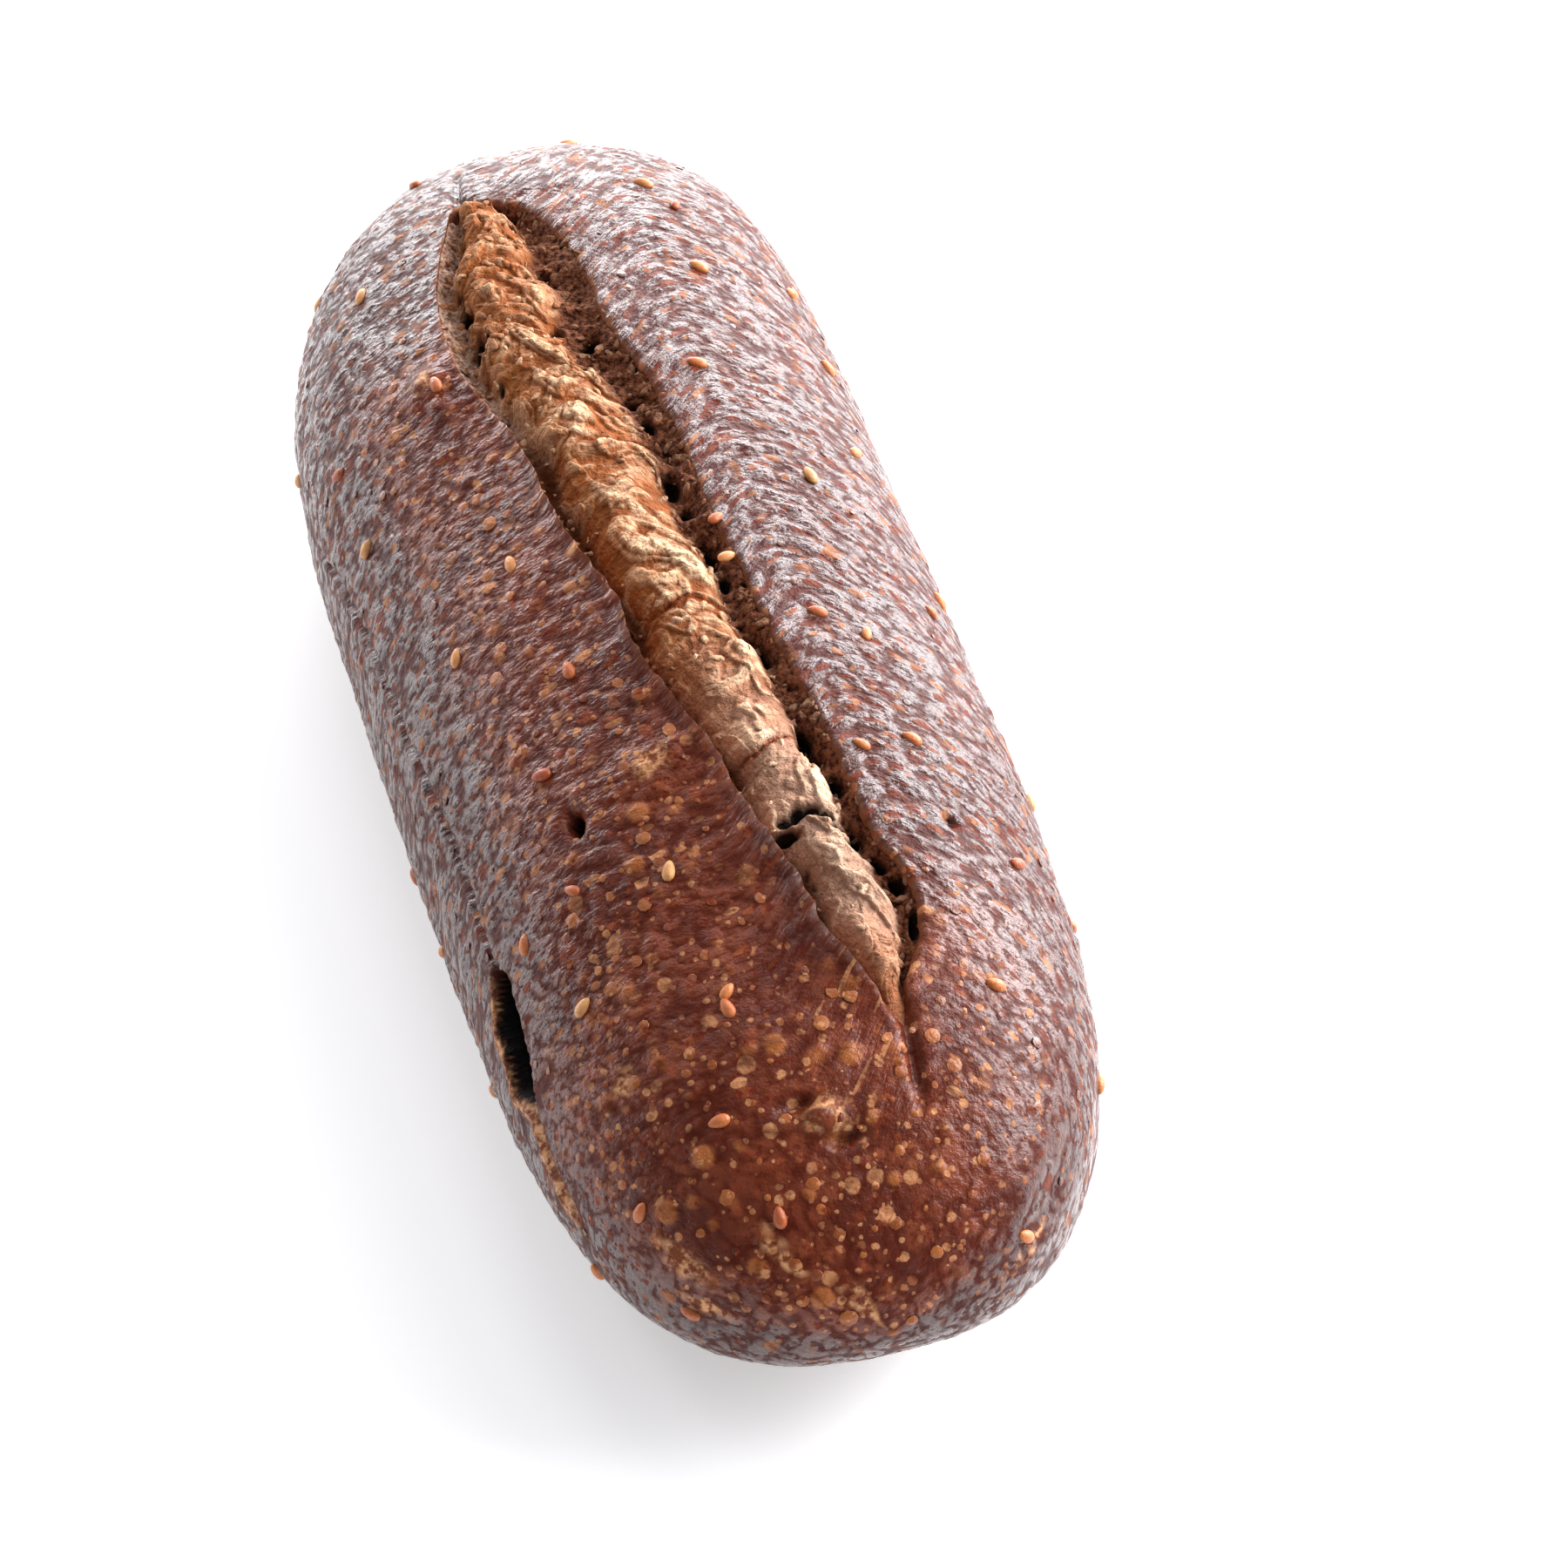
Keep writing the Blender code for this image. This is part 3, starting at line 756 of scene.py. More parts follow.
# %% Relief of the crumb
CRUMB_ROWS = 760
CRUMB_COLUMNS = 120
CRUMB_PROFILE = [
    (0.00, -0.0006),
    (0.05, -0.0024),
    (0.10, -0.0034),
    (0.15, -0.0028),
    (0.20, -0.0014),
    (0.27, 0.0000),
    (0.36, 0.0009),
    (0.45, 0.0010),
    (0.55, 0.0006),
    (0.62, 0.0001),
    (0.68, -0.0009),
    (0.73, -0.0021),
    (0.79, -0.0032),
    (0.88, -0.0026),
    (0.95, -0.0014),
    (1.00, -0.0006),
]
RIDGE_MIDDLE, RIDGE_HALF = 0.49, 0.34
FOLD_BOW, FOLD_HEIGHT, FOLD_STEP = 0.0022, 0.0009, 0.0007
PLATE_STEP, SHARD_STEP = 0.00065, 0.00040
LUMP_RISE, GRAIN_RISE, PORE_DEPTH = 0.00085, 0.00022, 0.0024
FIBRE_RISE, STRAND_RISE = 0.00010, 0.00016
CLUMP_RISE, CLUMP_ROUGH = 0.00030, 0.00038

# Patterns drawn over the crumb: (size along, size across, lean, level, seed)
FIBRE = (0.0008, 0.0060, 0.0, 0.3, 42)
STRAND = (0.0020, 0.0070, 0.0, 4.6, 43)
LUMP = (0.0050, 0.0075, 0.0, 9.1, 48)
PLATE = (0.0070, 0.0050, 0.5, 2.2, 46)
SHARD = (0.0030, 0.0036, -0.4, 5.8, 39)
CLUMP = (0.0021, 0.0034, 0.0, 0.0, 45)

# Sway of the folds: (size, reach, seed)
SWAYS = ((0.011, 0.0036, 41), (0.003, 0.0007, 40))

# Where one fold ends and the next begins: (along Y, strength)
FOLDS = [
    (0.096, 0.3),
    (0.086, 0.4),
    (0.074, 0.5),
    (0.062, 0.7),
    (0.051, 1.3),
    (0.038, 0.5),
    (0.026, 0.9),
    (0.012, 0.5),
    (0.001, 0.6),
    (-0.014, 2.0),
    (-0.024, 0.5),
    (-0.034, 0.6),
    (-0.045, 2.1),
    (-0.054, 0.5),
    (-0.062, 1.6),
    (-0.072, 0.5),
    (-0.082, 0.4),
    (-0.100, 0.3),
]

# Holes in the gaps and walls: (along Y, share of the way across, radius along, radius across, depth)
HOLES = [
    (0.081, 0.16, 0.0022, 0.0013, 0.0040),
    (0.065, 0.17, 0.0026, 0.0012, 0.0035),
    (0.055, 0.20, 0.0030, 0.0016, 0.0040),
    (0.089, 0.84, 0.0012, 0.0010, 0.0030),
    (0.070, 0.82, 0.0014, 0.0008, 0.0026),
    (0.054, 0.74, 0.0012, 0.0008, 0.0026),
    (0.050, 0.88, 0.0013, 0.0009, 0.0024),
    (0.043, 0.70, 0.0018, 0.0010, 0.0022),
    (0.034, 0.82, 0.0014, 0.0010, 0.0026),
    (0.028, 0.86, 0.0018, 0.0008, 0.0024),
    (0.014, 0.84, 0.0026, 0.0011, 0.0030),
    (0.007, 0.85, 0.0016, 0.0009, 0.0028),
    (-0.003, 0.84, 0.0030, 0.0010, 0.0030),
    (-0.010, 0.87, 0.0016, 0.0008, 0.0024),
    (-0.026, 0.86, 0.0030, 0.0011, 0.0034),
    (-0.0475, 0.78, 0.0022, 0.0017, 0.0050),
    (-0.0440, 0.83, 0.0022, 0.0012, 0.0036),
    (-0.054, 0.88, 0.0018, 0.0010, 0.0026),
    (-0.064, 0.84, 0.0014, 0.0010, 0.0032),
    (-0.069, 0.88, 0.0013, 0.0010, 0.0030),
    (-0.073, 0.93, 0.0016, 0.0009, 0.0030),
    (-0.080, 0.95, 0.0026, 0.0008, 0.0026),
]

# The round scale near the near end has a deep curved mouth, given as a chain of small holes
CRESCENT = [
    (-0.0625, 0.22),
    (-0.0605, 0.30),
    (-0.0595, 0.40),
    (-0.0597, 0.50),
    (-0.0608, 0.60),
    (-0.0628, 0.68),
    (-0.0655, 0.73),
]


def fold_waves(y):
    """Saw teeth along the ridge: each fold rises towards its near end, then drops. The drop gets painted
    shade.
    """
    places, strengths = np.array(FOLDS[::-1]).T
    i = np.clip(np.searchsorted(places, y) - 1, 0, len(places) - 2)
    since = y - places[i]
    span = places[i + 1] - places[i]
    rise = np.clip(1 - since / span, 0, 1)
    strength = strengths[i]
    rounded = smooth_step(since / FOLD_STEP)
    height = FOLD_HEIGHT * strength * (rounded * (0.25 + 0.75 * rise) - 0.25)
    before = smooth_step(1 - (places[i + 1] - y) / (2.2 * FOLD_STEP))
    dark = strengths[i + 1] * before + strength * smooth_step(1 - since / (0.6 * FOLD_STEP))
    return height, np.clip(dark, 0, 2.0)


def stretched(*columns):
    return np.stack(columns, axis=1)


def drawn_over(pattern, along, across):
    """A pattern of the crumb at places along and across the strip."""
    size_along, size_across, lean, level, seed = pattern
    places = stretched((along + lean * across) / size_along, across / size_across, 0 * along + level)
    return ripple(places, seed)


def crumb_relief(points, y, share, across_width):
    """Height of the crumb's own relief, with the marks that its material reads."""
    across = (share - RIDGE_MIDDLE) * across_width
    side = np.clip((share - RIDGE_MIDDLE) / RIDGE_HALF, -1.4, 1.4)
    on_ridge = smooth_step((1.12 - np.abs(side)) / 0.35)
    near_half = smooth_step((0.050 - y) / 0.025)
    bowed = y + FOLD_BOW * side**2
    for size, reach, seed in SWAYS:
        bowed = bowed + reach * ripple(points / size, seed)
    folds, crease = fold_waves(bowed)
    comes_and_goes = np.clip(0.55 + 1.2 * ripple(points / 0.007, 49) + smooth_step(crease - 1.0), 0, 1)
    fibre, strand, lump, plate, shard, clump = (
        drawn_over(pattern, bowed, across) for pattern in (FIBRE, STRAND, LUMP, PLATE, SHARD, CLUMP)
    )
    torn_steps = PLATE_STEP * smooth_step((plate + 0.02) / 0.09)
    torn_steps += PLATE_STEP * smooth_step((plate - 0.34) / 0.09)
    torn_steps += SHARD_STEP * smooth_step((shard - 0.10) / 0.16)
    # Painted shade just under each torn step, taken off the crest's paleness.
    painted_step_shade = np.exp(-((plate + 0.05) / 0.07) ** 2) + np.exp(-((plate - 0.31) / 0.06) ** 2)
    painted_step_shade += 0.6 * np.exp(-((shard - 0.06) / 0.08) ** 2)
    grain = ripple(points / 0.0011, 44)
    rough = 1 - on_ridge * near_half
    height = on_ridge * (folds * comes_and_goes * near_half + FIBRE_RISE * fibre + STRAND_RISE * strand)
    height += LUMP_RISE * lump + GRAIN_RISE * grain + (CLUMP_RISE + CLUMP_ROUGH * rough) * clump
    height += torn_steps * on_ridge
    pore = np.clip(ripple(points / 0.0019, 47) - 0.42, 0, 1) * (0.15 + 0.85 * rough)
    height -= PORE_DEPTH * pore
    # Painted shade: pores and holes are marked to be painted near black.
    deep = np.clip(1.8 * pore, 0, 0.8)
    for hole_y, hole_share, along, wide, depth in HOLES + [(*c, 0.0009, 0.0012, 0.0026) for c in CRESCENT]:
        near = np.abs(y - hole_y) < 3 * along
        off = (share[near] - hole_share) * across_width[near]
        bowl = np.exp(-(((y[near] - hole_y) / along) ** 2 + (off / wide) ** 2) ** 1.5)
        height[near] -= 1.2 * depth * bowl
        deep[near] = np.maximum(deep[near], bowl)
    # Painted light and shade: raised parts get a pale painted highlight and low parts a darker painted shade.
    raised = folds * comes_and_goes * near_half / FOLD_HEIGHT + 0.7 * lump + 0.45 * rough * clump
    raised += 0.6 * torn_steps / PLATE_STEP - 0.6
    crest = 0.44 + 0.42 * raised + 0.22 * strand + 0.20 * fibre + 0.22 * grain - 0.34 * painted_step_shade * on_ridge
    crest = np.clip(crest, 0, 1)
    # The crease mark gives painted shade at the drop of each fold.
    crease = np.clip(crease, 0, 1) * comes_and_goes * on_ridge * near_half
    slope = smooth_step((0.42 - share) / 0.16) * on_ridge
    way = stretched(across, bowed, 0 * y)
    return height, {"way": way, "slope": slope, "crest": crest, "crease": crease, "deep": deep}


print("folds:", len(FOLDS), "and holes:", len(HOLES) + len(CRESCENT))

# %% [markdown]
# The strip itself is a grid like the crust's, with a row for each step along the slash. Its profile gives the
# ridge, the two gaps and the foot of each wall, and the relief is laid over it. A little wander bends the
# profile, so that the gaps don't run straight.

# %% The crumb strip
crumb_y = np.linspace(SLASH_NEAR - 0.003, SLASH_FAR + 0.003, CRUMB_ROWS)
crumb_t = 2 * crumb_y / LENGTH
crumb_left, crumb_right = lips(crumb_t)
shares = np.linspace(0, 1, CRUMB_COLUMNS)
BOTTOM = [(0.96, -0.0070), (0.72, -0.0086), (0.28, -0.0086), (0.04, -0.0070)]
all_shares = np.concatenate([shares, [s for s, _ in BOTTOM]])

ring_width = len(all_shares)
t_flat = np.repeat(crumb_t, ring_width)
y_flat = np.repeat(crumb_y, ring_width)
share_flat = np.tile(all_shares, CRUMB_ROWS)
opened = openness(y_flat)
lip_left, lip_right = np.repeat(crumb_left, ring_width), np.repeat(crumb_right, ring_width)
crumb_angles = lip_left + (lip_right - lip_left) * share_flat
body_points = section(t_flat, crumb_angles)
wide = np.radians(lip_left - lip_right) * WIDTH / 2
wander = 0.0
for reach, length, turns, seed in ((0.050, 0.011, 1.5, 51), (0.028, 0.0035, 3.0, 52)):
    wander = wander + reach * ripple(stretched(y_flat / length, share_flat * turns, 0 * y_flat), seed)
at_edge = smooth_step(np.minimum(share_flat, 1 - share_flat) / 0.06)
share_bent = share_flat + wander * at_edge
relief, crumb_marks = crumb_relief(body_points, y_flat, share_bent, wide)
on_top = np.tile(np.arange(ring_width) < CRUMB_COLUMNS, CRUMB_ROWS)
below = np.tile(np.concatenate([0 * shares, [d for _, d in BOTTOM]]), CRUMB_ROWS)
lift = np.where(on_top, smooth_curve(CRUMB_PROFILE, share_bent), below)
lift = opened * lift - 0.0016 * (1 - opened)
lift = lift + np.where(on_top, relief * at_edge * opened, 0.0)
crumb_points = body_points + outward(t_flat, crumb_angles) * lift[:, None] + nudge
far_part = smooth_step((y_flat - 0.022) / 0.02)
# The far left wall, which the material paints pale as painted sheen.
crumb_marks["left_wall"] = smooth_step((0.15 - share_bent) / 0.05) * far_part
crumb_marks["right_wall"] = smooth_step((share_bent - 0.73) / 0.06)
crumb_marks["shaded"] = smooth_step((0.20 - share_bent) / 0.10) * (1 - far_part)
caps = np.array([crumb_points[:ring_width].mean(0), crumb_points[-ring_width:].mean(0)])
crumb_points = np.concatenate([crumb_points, caps])
crumb_marks = {label: np.append(v, v[:2], axis=0) for label, v in crumb_marks.items()}
crumb_faces = [
    grid_faces(CRUMB_ROWS, ring_width, 0, ring_width)[:, ::-1],
    tip_faces(CRUMB_ROWS, ring_width, 0, ring_width, len(crumb_points) - 2, len(crumb_points) - 1)[:, ::-1],
]
crumb = make_mesh("crumb", crumb_points, crumb_faces, crumb_marks)
print("crumb triangles:", triangles(crumb))

# %% [markdown]
# Materials come next. Each is a small graph of nodes, so a short helper adds a node, sets what it is given
# and links whatever is a socket. Colours are written as they look on a screen, from 0 to 255, and turned
# into the linear values that the shader wants. Most finishes are a first colour with others laid over it in
# turn.

# %% Helpers for materials
def paint(red, green, blue):
    """Linear colour from screen values between 0 and 255."""
    return tuple((v / 255) ** 2.2 for v in (red, green, blue)) + (1.0,)


def connect(tree, node, inputs):
    """Gives a node its inputs: sockets are linked, and plain values are set."""
    for place, value in inputs.items():
        if isinstance(value, bpy.types.NodeSocket):
            tree.links.new(value, node.inputs[place])
        else:
            node.inputs[place].default_value = value


def add(tree, kind, inputs=None, **settings):
    made = tree.nodes.new(kind)
    for label, value in settings.items():
        setattr(made, label, value)
    connect(tree, made, inputs or {})
    return made


def blend(tree, share, first, second):
    """Colour that goes from the first to the second as share goes from 0 to 1."""
    return add(tree, "ShaderNodeMix", {0: share, 6: first, 7: second}, data_type="RGBA").outputs[2]


def layered(tree, colour, *layers):
    """A colour with others laid over it in turn, each where its share says."""
    for share, over in layers:
        colour = blend(tree, share, colour, over)
    return colour


def between(tree, value, low, high, to_low=0.0, to_high=1.0):
    """Value stretched so that low..high becomes to_low..to_high, held at both ends."""
    return add(tree, "ShaderNodeMapRange", {0: value, 1: low, 2: high, 3: to_low, 4: to_high}).outputs[0]


def reckon(tree, operation, first, second):
    return add(tree, "ShaderNodeMath", {0: first, 1: second}, operation=operation).outputs[0]


def times(tree, first, second):
    return reckon(tree, "MULTIPLY", first, second)


def plus(tree, first, second):
    return reckon(tree, "ADD", first, second)


def on_vectors(tree, operation, inputs):
    return add(tree, "ShaderNodeVectorMath", inputs, operation=operation).outputs[0]


def scaled(tree, place, *scale):
    return add(tree, "ShaderNodeMapping", {"Vector": place, "Scale": scale}).outputs[0]


def stored(tree, label, *limits):
    """A number kept on the mesh, stretched between the limits where they are given."""
    value = add(tree, "ShaderNodeAttribute", attribute_name=label).outputs["Fac"]
    return between(tree, value, *limits) if limits else value


def stored_place(tree, label):
    return add(tree, "ShaderNodeAttribute", attribute_name=label).outputs["Vector"]


def grain_noise(tree, place, size, detail=2.0, roughness=0.55):
    """Noise whose hills are about `size` metres wide."""
    inputs = {"Vector": place, "Scale": 1 / size, "Detail": detail, "Roughness": roughness}
    return add(tree, "ShaderNodeTexNoise", inputs).outputs["Fac"]


def dots(tree, place, size, kept, smallest, largest):
    """Round spots in some cells of about `size` metres: how far a point is on one, and its own draw."""
    cells = add(tree, "ShaderNodeTexVoronoi", {"Vector": place, "Scale": 1 / size, "Randomness": 0.9})
    draw = add(tree, "ShaderNodeSeparateColor", {0: cells.outputs["Color"]}).outputs
    reach = between(tree, draw[1], 0.0, 1.0, smallest / size, largest / size)
    inside = between(tree, reckon(tree, "SUBTRACT", reach, cells.outputs["Distance"]), 0.0, 0.06)
    return times(tree, inside, reckon(tree, "LESS_THAN", draw[0], kept)), draw[2]


def new_finish(name):
    """An empty material: its tree, its shader and the place on the object."""
    material = bpy.data.materials.new(name)
    material.use_nodes = True
    tree = material.node_tree
    place = add(tree, "ShaderNodeTexCoord").outputs["Object"]
    return material, tree, tree.nodes["Principled BSDF"], place


def bump(tree, height, depth, under=None):
    inputs = {"Height": height, "Distance": depth, "Strength": 1.0}
    if under is not None:
        inputs["Normal"] = under
    return add(tree, "ShaderNodeBump", inputs).outputs["Normal"]


print("helpers are ready, and middle grey is", round(paint(128, 128, 128)[0], 2), "in linear light")

# %% [markdown]
# The crust's colour is a dark reddish brown, darker on the flanks, and rust red where it is thin. Its creases
# are darker as well, which is painted shade. Blisters dried first and are tan. The smallest freckles are bran
# in the dough, so they are cells that only some of the time hold a dot. Round the flanks the dots are drawn
# out along the wrinkles.

# %% Crust colours
crust_finish, tree, shader, place = new_finish("dark_crust")
wrap = stored_place(tree, "wrap")
crowd = stored(tree, "crowd")
mottle = grain_noise(tree, place, 0.018, 3.0)
patch = grain_noise(tree, place, 0.0045, 3.0)
speck = grain_noise(tree, place, 0.0012, 4.0, 0.65)

# Creases follow the skin round the loaf, and are plain grain where the wrap closes at the ends
drawn_creases = grain_noise(tree, scaled(tree, wrap, 1 / 0.0019, 1 / 0.0010, 1.0), 1.0, 2.0, 0.6)
plain_creases = grain_noise(tree, place, 0.0016, 2.0, 0.6)
creases = add(tree, "ShaderNodeMix", {0: stored(tree, "end"), 2: drawn_creases, 3: plain_creases}).outputs[0]
# Painted shade: where the crease noise is low, the colour is darkened as if shade lay in the creases.
crease_shade = between(tree, creases, 0.46, 0.38)
pimple_tone = times(tree, stored(tree, "pimple"), between(tree, patch, 0.4, 0.6))

colour = layered(
    tree,
    blend(tree, between(tree, mottle, 0.38, 0.62), paint(86, 36, 19), paint(110, 49, 27)),
    (between(tree, patch, 0.50, 0.72, 0, 0.5), paint(134, 68, 40)),
    (between(tree, patch, 0.47, 0.30, 0, 0.6), paint(72, 27, 15)),
    # Painted shade in the creases
    (times(tree, crease_shade, 0.65), paint(84, 30, 20)),
    (stored(tree, "blister", 0.05, 0.6, 0, 0.55), paint(184, 110, 58)),
    (times(tree, pimple_tone, 0.45), paint(150, 70, 38)),
    (between(tree, crowd, 0.0, 0.6, 0.70, 0.0), paint(48, 17, 13)),
)

# Dots, as (place, cell size, share of cells on the flanks, share where blisters crowd, smallest and largest
# radius, draw above which a dot is tan and not rust red, strength)
stirring = add(tree, "ShaderNodeTexNoise", {"Vector": place, "Scale": 1 / 0.0012, "Detail": 1.0})
stirring = on_vectors(tree, "SCALE", {0: stirring.outputs["Color"], "Scale": 0.0007})
stirred = on_vectors(tree, "ADD", {0: place, 1: stirring})
drawn_out = scaled(tree, wrap, 0.52, 1.0, 1.0)
off_end = stored(tree, "end", 0.0, 0.3, 1.0, 0.0)
raised_dots = 0.0
for where, size, few, many, smallest, largest, rust, strength in (
    (drawn_out, 0.0018, 0.74, 0.25, 0.0004, 0.0010, 0.70, 0.95),
    (stirred, 0.0046, 0.20, 0.45, 0.0006, 0.0016, 0.25, 0.80),
    (stirred, 0.0024, 0.30, 0.55, 0.0004, 0.0009, 0.25, 0.85),
    (stirred, 0.0015, 0.20, 0.36, 0.0003, 0.0006, 0.25, 0.80),
):
    share = between(tree, crowd, 0, 1, few, many)
    if where is drawn_out:
        share = times(tree, share, off_end)
    else:
        share = plus(tree, share, between(tree, off_end, 0, 1, 0.15, 0.0))
    spot, draw = dots(tree, where, size, share, smallest, largest)
    spot_colour = layered(
        tree,
        blend(tree, between(tree, draw, rust, rust + 0.2), paint(98, 36, 22), paint(198, 140, 98)),
        (between(tree, speck, 0.42, 0.62, 0, 0.7), paint(156, 88, 54)),
        (between(tree, crowd, 0.0, 0.6, 0.45, 0.0), paint(84, 30, 20)),
    )
    colour = blend(tree, times(tree, spot, strength), colour, spot_colour)
    raised_dots = plus(tree, spot, raised_dots)

ragged = blend(tree, between(tree, plain_creases, 0.42, 0.60), paint(112, 58, 32), paint(208, 152, 108))
colour = layered(
    tree,
    colour,
    # Painted shade in the creases of the mesh's wrinkles
    (times(tree, stored(tree, "crease"), 0.8), paint(70, 25, 13)),
    (stored(tree, "edge"), paint(184, 124, 90)),
    (stored(tree, "torn", 0.15, 0.6, 0, 0.9), ragged),
    # Painted shade: near black inside the cleft and the deep pits
    (stored(tree, "sunk"), paint(14, 6, 4)),
)
print("the crust's colour has", len(tree.nodes), "nodes")

# %% [markdown]
# The whitish look of the flanks is not a colour at all. It is bright panels mirrored in a satin surface, so
# it comes from the roughness, a thin coat of glaze and the fine bump. The glaze covers everything but the
# dots, the creases and the torn places, and it is thinner where blisters crowd.

# %% Crust surface
matt = plus(tree, times(tree, raised_dots, 0.85), times(tree, crease_shade, 0.80))
for label in ("crease", "torn", "sunk"):
    matt = plus(tree, matt, stored(tree, label))
glaze = times(tree, between(tree, matt, 0.1, 0.9, 1.0, 0.05), between(tree, crowd, 0.2, 1.0, 1.0, 0.45))
dullness = plus(tree, between(tree, patch, 0.30, 0.70, 0.44, 0.56), times(tree, stored(tree, "sunk"), 0.5))
smoothed = times(tree, creases, stored(tree, "calm", 0.0, 1.0, 1.0, 0.4))
fine_normal = bump(tree, speck, 0.00026, bump(tree, smoothed, 0.00048))
connect(tree, shader, {
    "Base Color": colour,
    "Roughness": dullness,
    "Specular IOR Level": 0.10,
    "Normal": bump(tree, grain_noise(tree, place, 0.00045), 0.00008, fine_normal),
    "Coat Weight": glaze,
    "Coat Roughness": 0.17,
    "Coat IOR": 1.50,
    "Coat Normal": fine_normal,
})
for piece in crust_pieces:
    piece.data.materials.append(crust_finish)
print("the crust is on", len(crust_pieces), "pieces")

# %% [markdown]
# Crumb is matt, because it is torn and full of air. Its crests are painted pale, a painted highlight, and its
# hollows amber brown, a painted shade. The right wall is dark. The left one is painted pale in its far half,
# which is painted sheen, and has painted shade in its near half. Along Y the crumb goes from amber at the far
# end to pale near the near end, and brown again where the slash runs out.

# %% Crumb
crumb_finish, tree, shader, place = new_finish("torn_crumb")
along = add(tree, "ShaderNodeSeparateXYZ", {0: place}).outputs["Y"]
fibres = grain_noise(tree, scaled(tree, stored_place(tree, "way"), 1 / 0.0034, 1 / 0.00042, 1.0), 1.0)
patch = grain_noise(tree, place, 0.0040, 3.0)
grain = grain_noise(tree, place, 0.0009, 3.0)
# Painted sheen: the far left wall is painted pale, as crust that faces the light looks.
painted_lit_wall = blend(tree, between(tree, grain, 0.35, 0.65), paint(130, 88, 66), paint(206, 172, 152))
dark_wall = blend(tree, between(tree, grain, 0.36, 0.64), paint(58, 29, 18), paint(134, 84, 60))
colour = layered(
    tree,
    # Painted highlight on the crests, painted shade in the hollows
    blend(tree, stored(tree, "crest", 0.15, 0.85), paint(130, 74, 44), paint(228, 190, 152)),
    (between(tree, fibres, 0.52, 0.34, 0, 0.50), paint(164, 100, 54)),
    (between(tree, grain, 0.50, 0.70, 0, 0.55), paint(128, 72, 40)),
    (between(tree, patch, 0.52, 0.66, 0, 0.45), paint(170, 96, 52)),
    (stored(tree, "slope", 0, 1, 0, 0.60), paint(150, 88, 42)),
    (between(tree, along, 0.030, 0.060, 0, 0.35), paint(156, 94, 54)),
    (between(tree, along, -0.020, -0.060, 0, 0.30), paint(238, 212, 190)),
    (between(tree, along, -0.076, -0.090, 0, 0.80), paint(156, 90, 52)),
    # Painted shade where each fold drops
    (stored(tree, "crease", 0.1, 1.0, 0, 0.85), paint(120, 54, 22)),
    # Painted sheen on the far left wall
    (stored(tree, "left_wall"), painted_lit_wall),
    (stored(tree, "right_wall"), dark_wall),
    (stored(tree, "shaded"), paint(84, 44, 20)),
    # Painted shade in pores and holes
    (stored(tree, "deep", 0.12, 0.6, 0, 0.97), paint(16, 7, 4)),
)
dullness = plus(tree, between(tree, patch, 0.3, 0.7, 0.72, 0.88), times(tree, stored(tree, "deep"), 0.3))
coarse_normal = bump(tree, grain, 0.00090, bump(tree, fibres, 0.00045))
connect(tree, shader, {
    "Base Color": colour,
    "Roughness": dullness,
    "Specular IOR Level": 0.12,
    "Normal": bump(tree, grain_noise(tree, place, 0.00035), 0.00012, coarse_normal),
})
crumb.data.materials.append(crumb_finish)
print("the crumb's finish has", len(tree.nodes), "nodes")

# %% [markdown]
# Seeds, blisters and rags of crumb are small shapes repeated, which is work for Geometry Nodes. One helper
# makes the tree for all three: it sets a copy of a shape on each point of a small cloud, turns it to lie on
# the skin, and makes the copies real. Sizes are named inputs. Noise may pull the copies about a little, so
# that no two are alike.

# %% A cloud of points and a tree that dresses it
def on_skin(y, angle):
    """Points of the finished skin and the way it faces there."""
    t = 2 * y / LENGTH
    return skin(t, angle, lips(t)[0])[0], outward(t, angle)


def cloud(name, points, facing, numbers):
    """Loose points, each with the way that its copy faces and its own numbers."""
    mesh = bpy.data.meshes.new(name)
    mesh.from_pydata(points.tolist(), [], [])
    for label, values in {"facing": facing, **numbers}.items():
        store(mesh, label, values)
    return in_scene(name, mesh)


def read_field(tree, label, kind="FLOAT"):
    return add(tree, "GeometryNodeInputNamedAttribute", {"Name": label}, data_type=kind).outputs["Attribute"]


def laid_copies(tree, points, shape):
    """Copies of a shape on points, each scaled, turned about its own up, and faced along the skin."""
    facing = read_field(tree, "facing", "FLOAT_VECTOR")
    spin_inputs = {"Axis": (0, 0, 1), "Angle": read_field(tree, "turn")}
    spin = add(tree, "FunctionNodeAxisAngleToRotation", spin_inputs).outputs[0]
    lean = add(tree, "FunctionNodeAlignRotationToVector", {"Vector": facing}, axis="Z").outputs[0]
    both = add(tree, "FunctionNodeRotateRotation", {0: lean, 1: spin}, rotation_space="LOCAL").outputs[0]
    inputs = {"Points": points, "Instance": shape, "Rotation": both, "Scale": read_field(tree, "size")}
    copies = add(tree, "GeometryNodeInstanceOnPoints", inputs).outputs[0]
    return add(tree, "GeometryNodeRealizeInstances", {0: copies}).outputs[0]


def pulled_about(tree, shape, size, reach):
    """The shape with its points moved by noise of this size, as far as reach says."""
    pull = add(tree, "ShaderNodeTexNoise", {"Scale": 1 / size, "Detail": 1.0}, noise_dimensions="3D")
    pull = on_vectors(tree, "SUBTRACT", {0: pull.outputs["Color"], 1: (0.5, 0.5, 0.5)})
    pull = on_vectors(tree, "SCALE", {0: pull, "Scale": reach})
    return add(tree, "GeometryNodeSetPosition", {"Geometry": shape, "Offset": pull}).outputs[0]


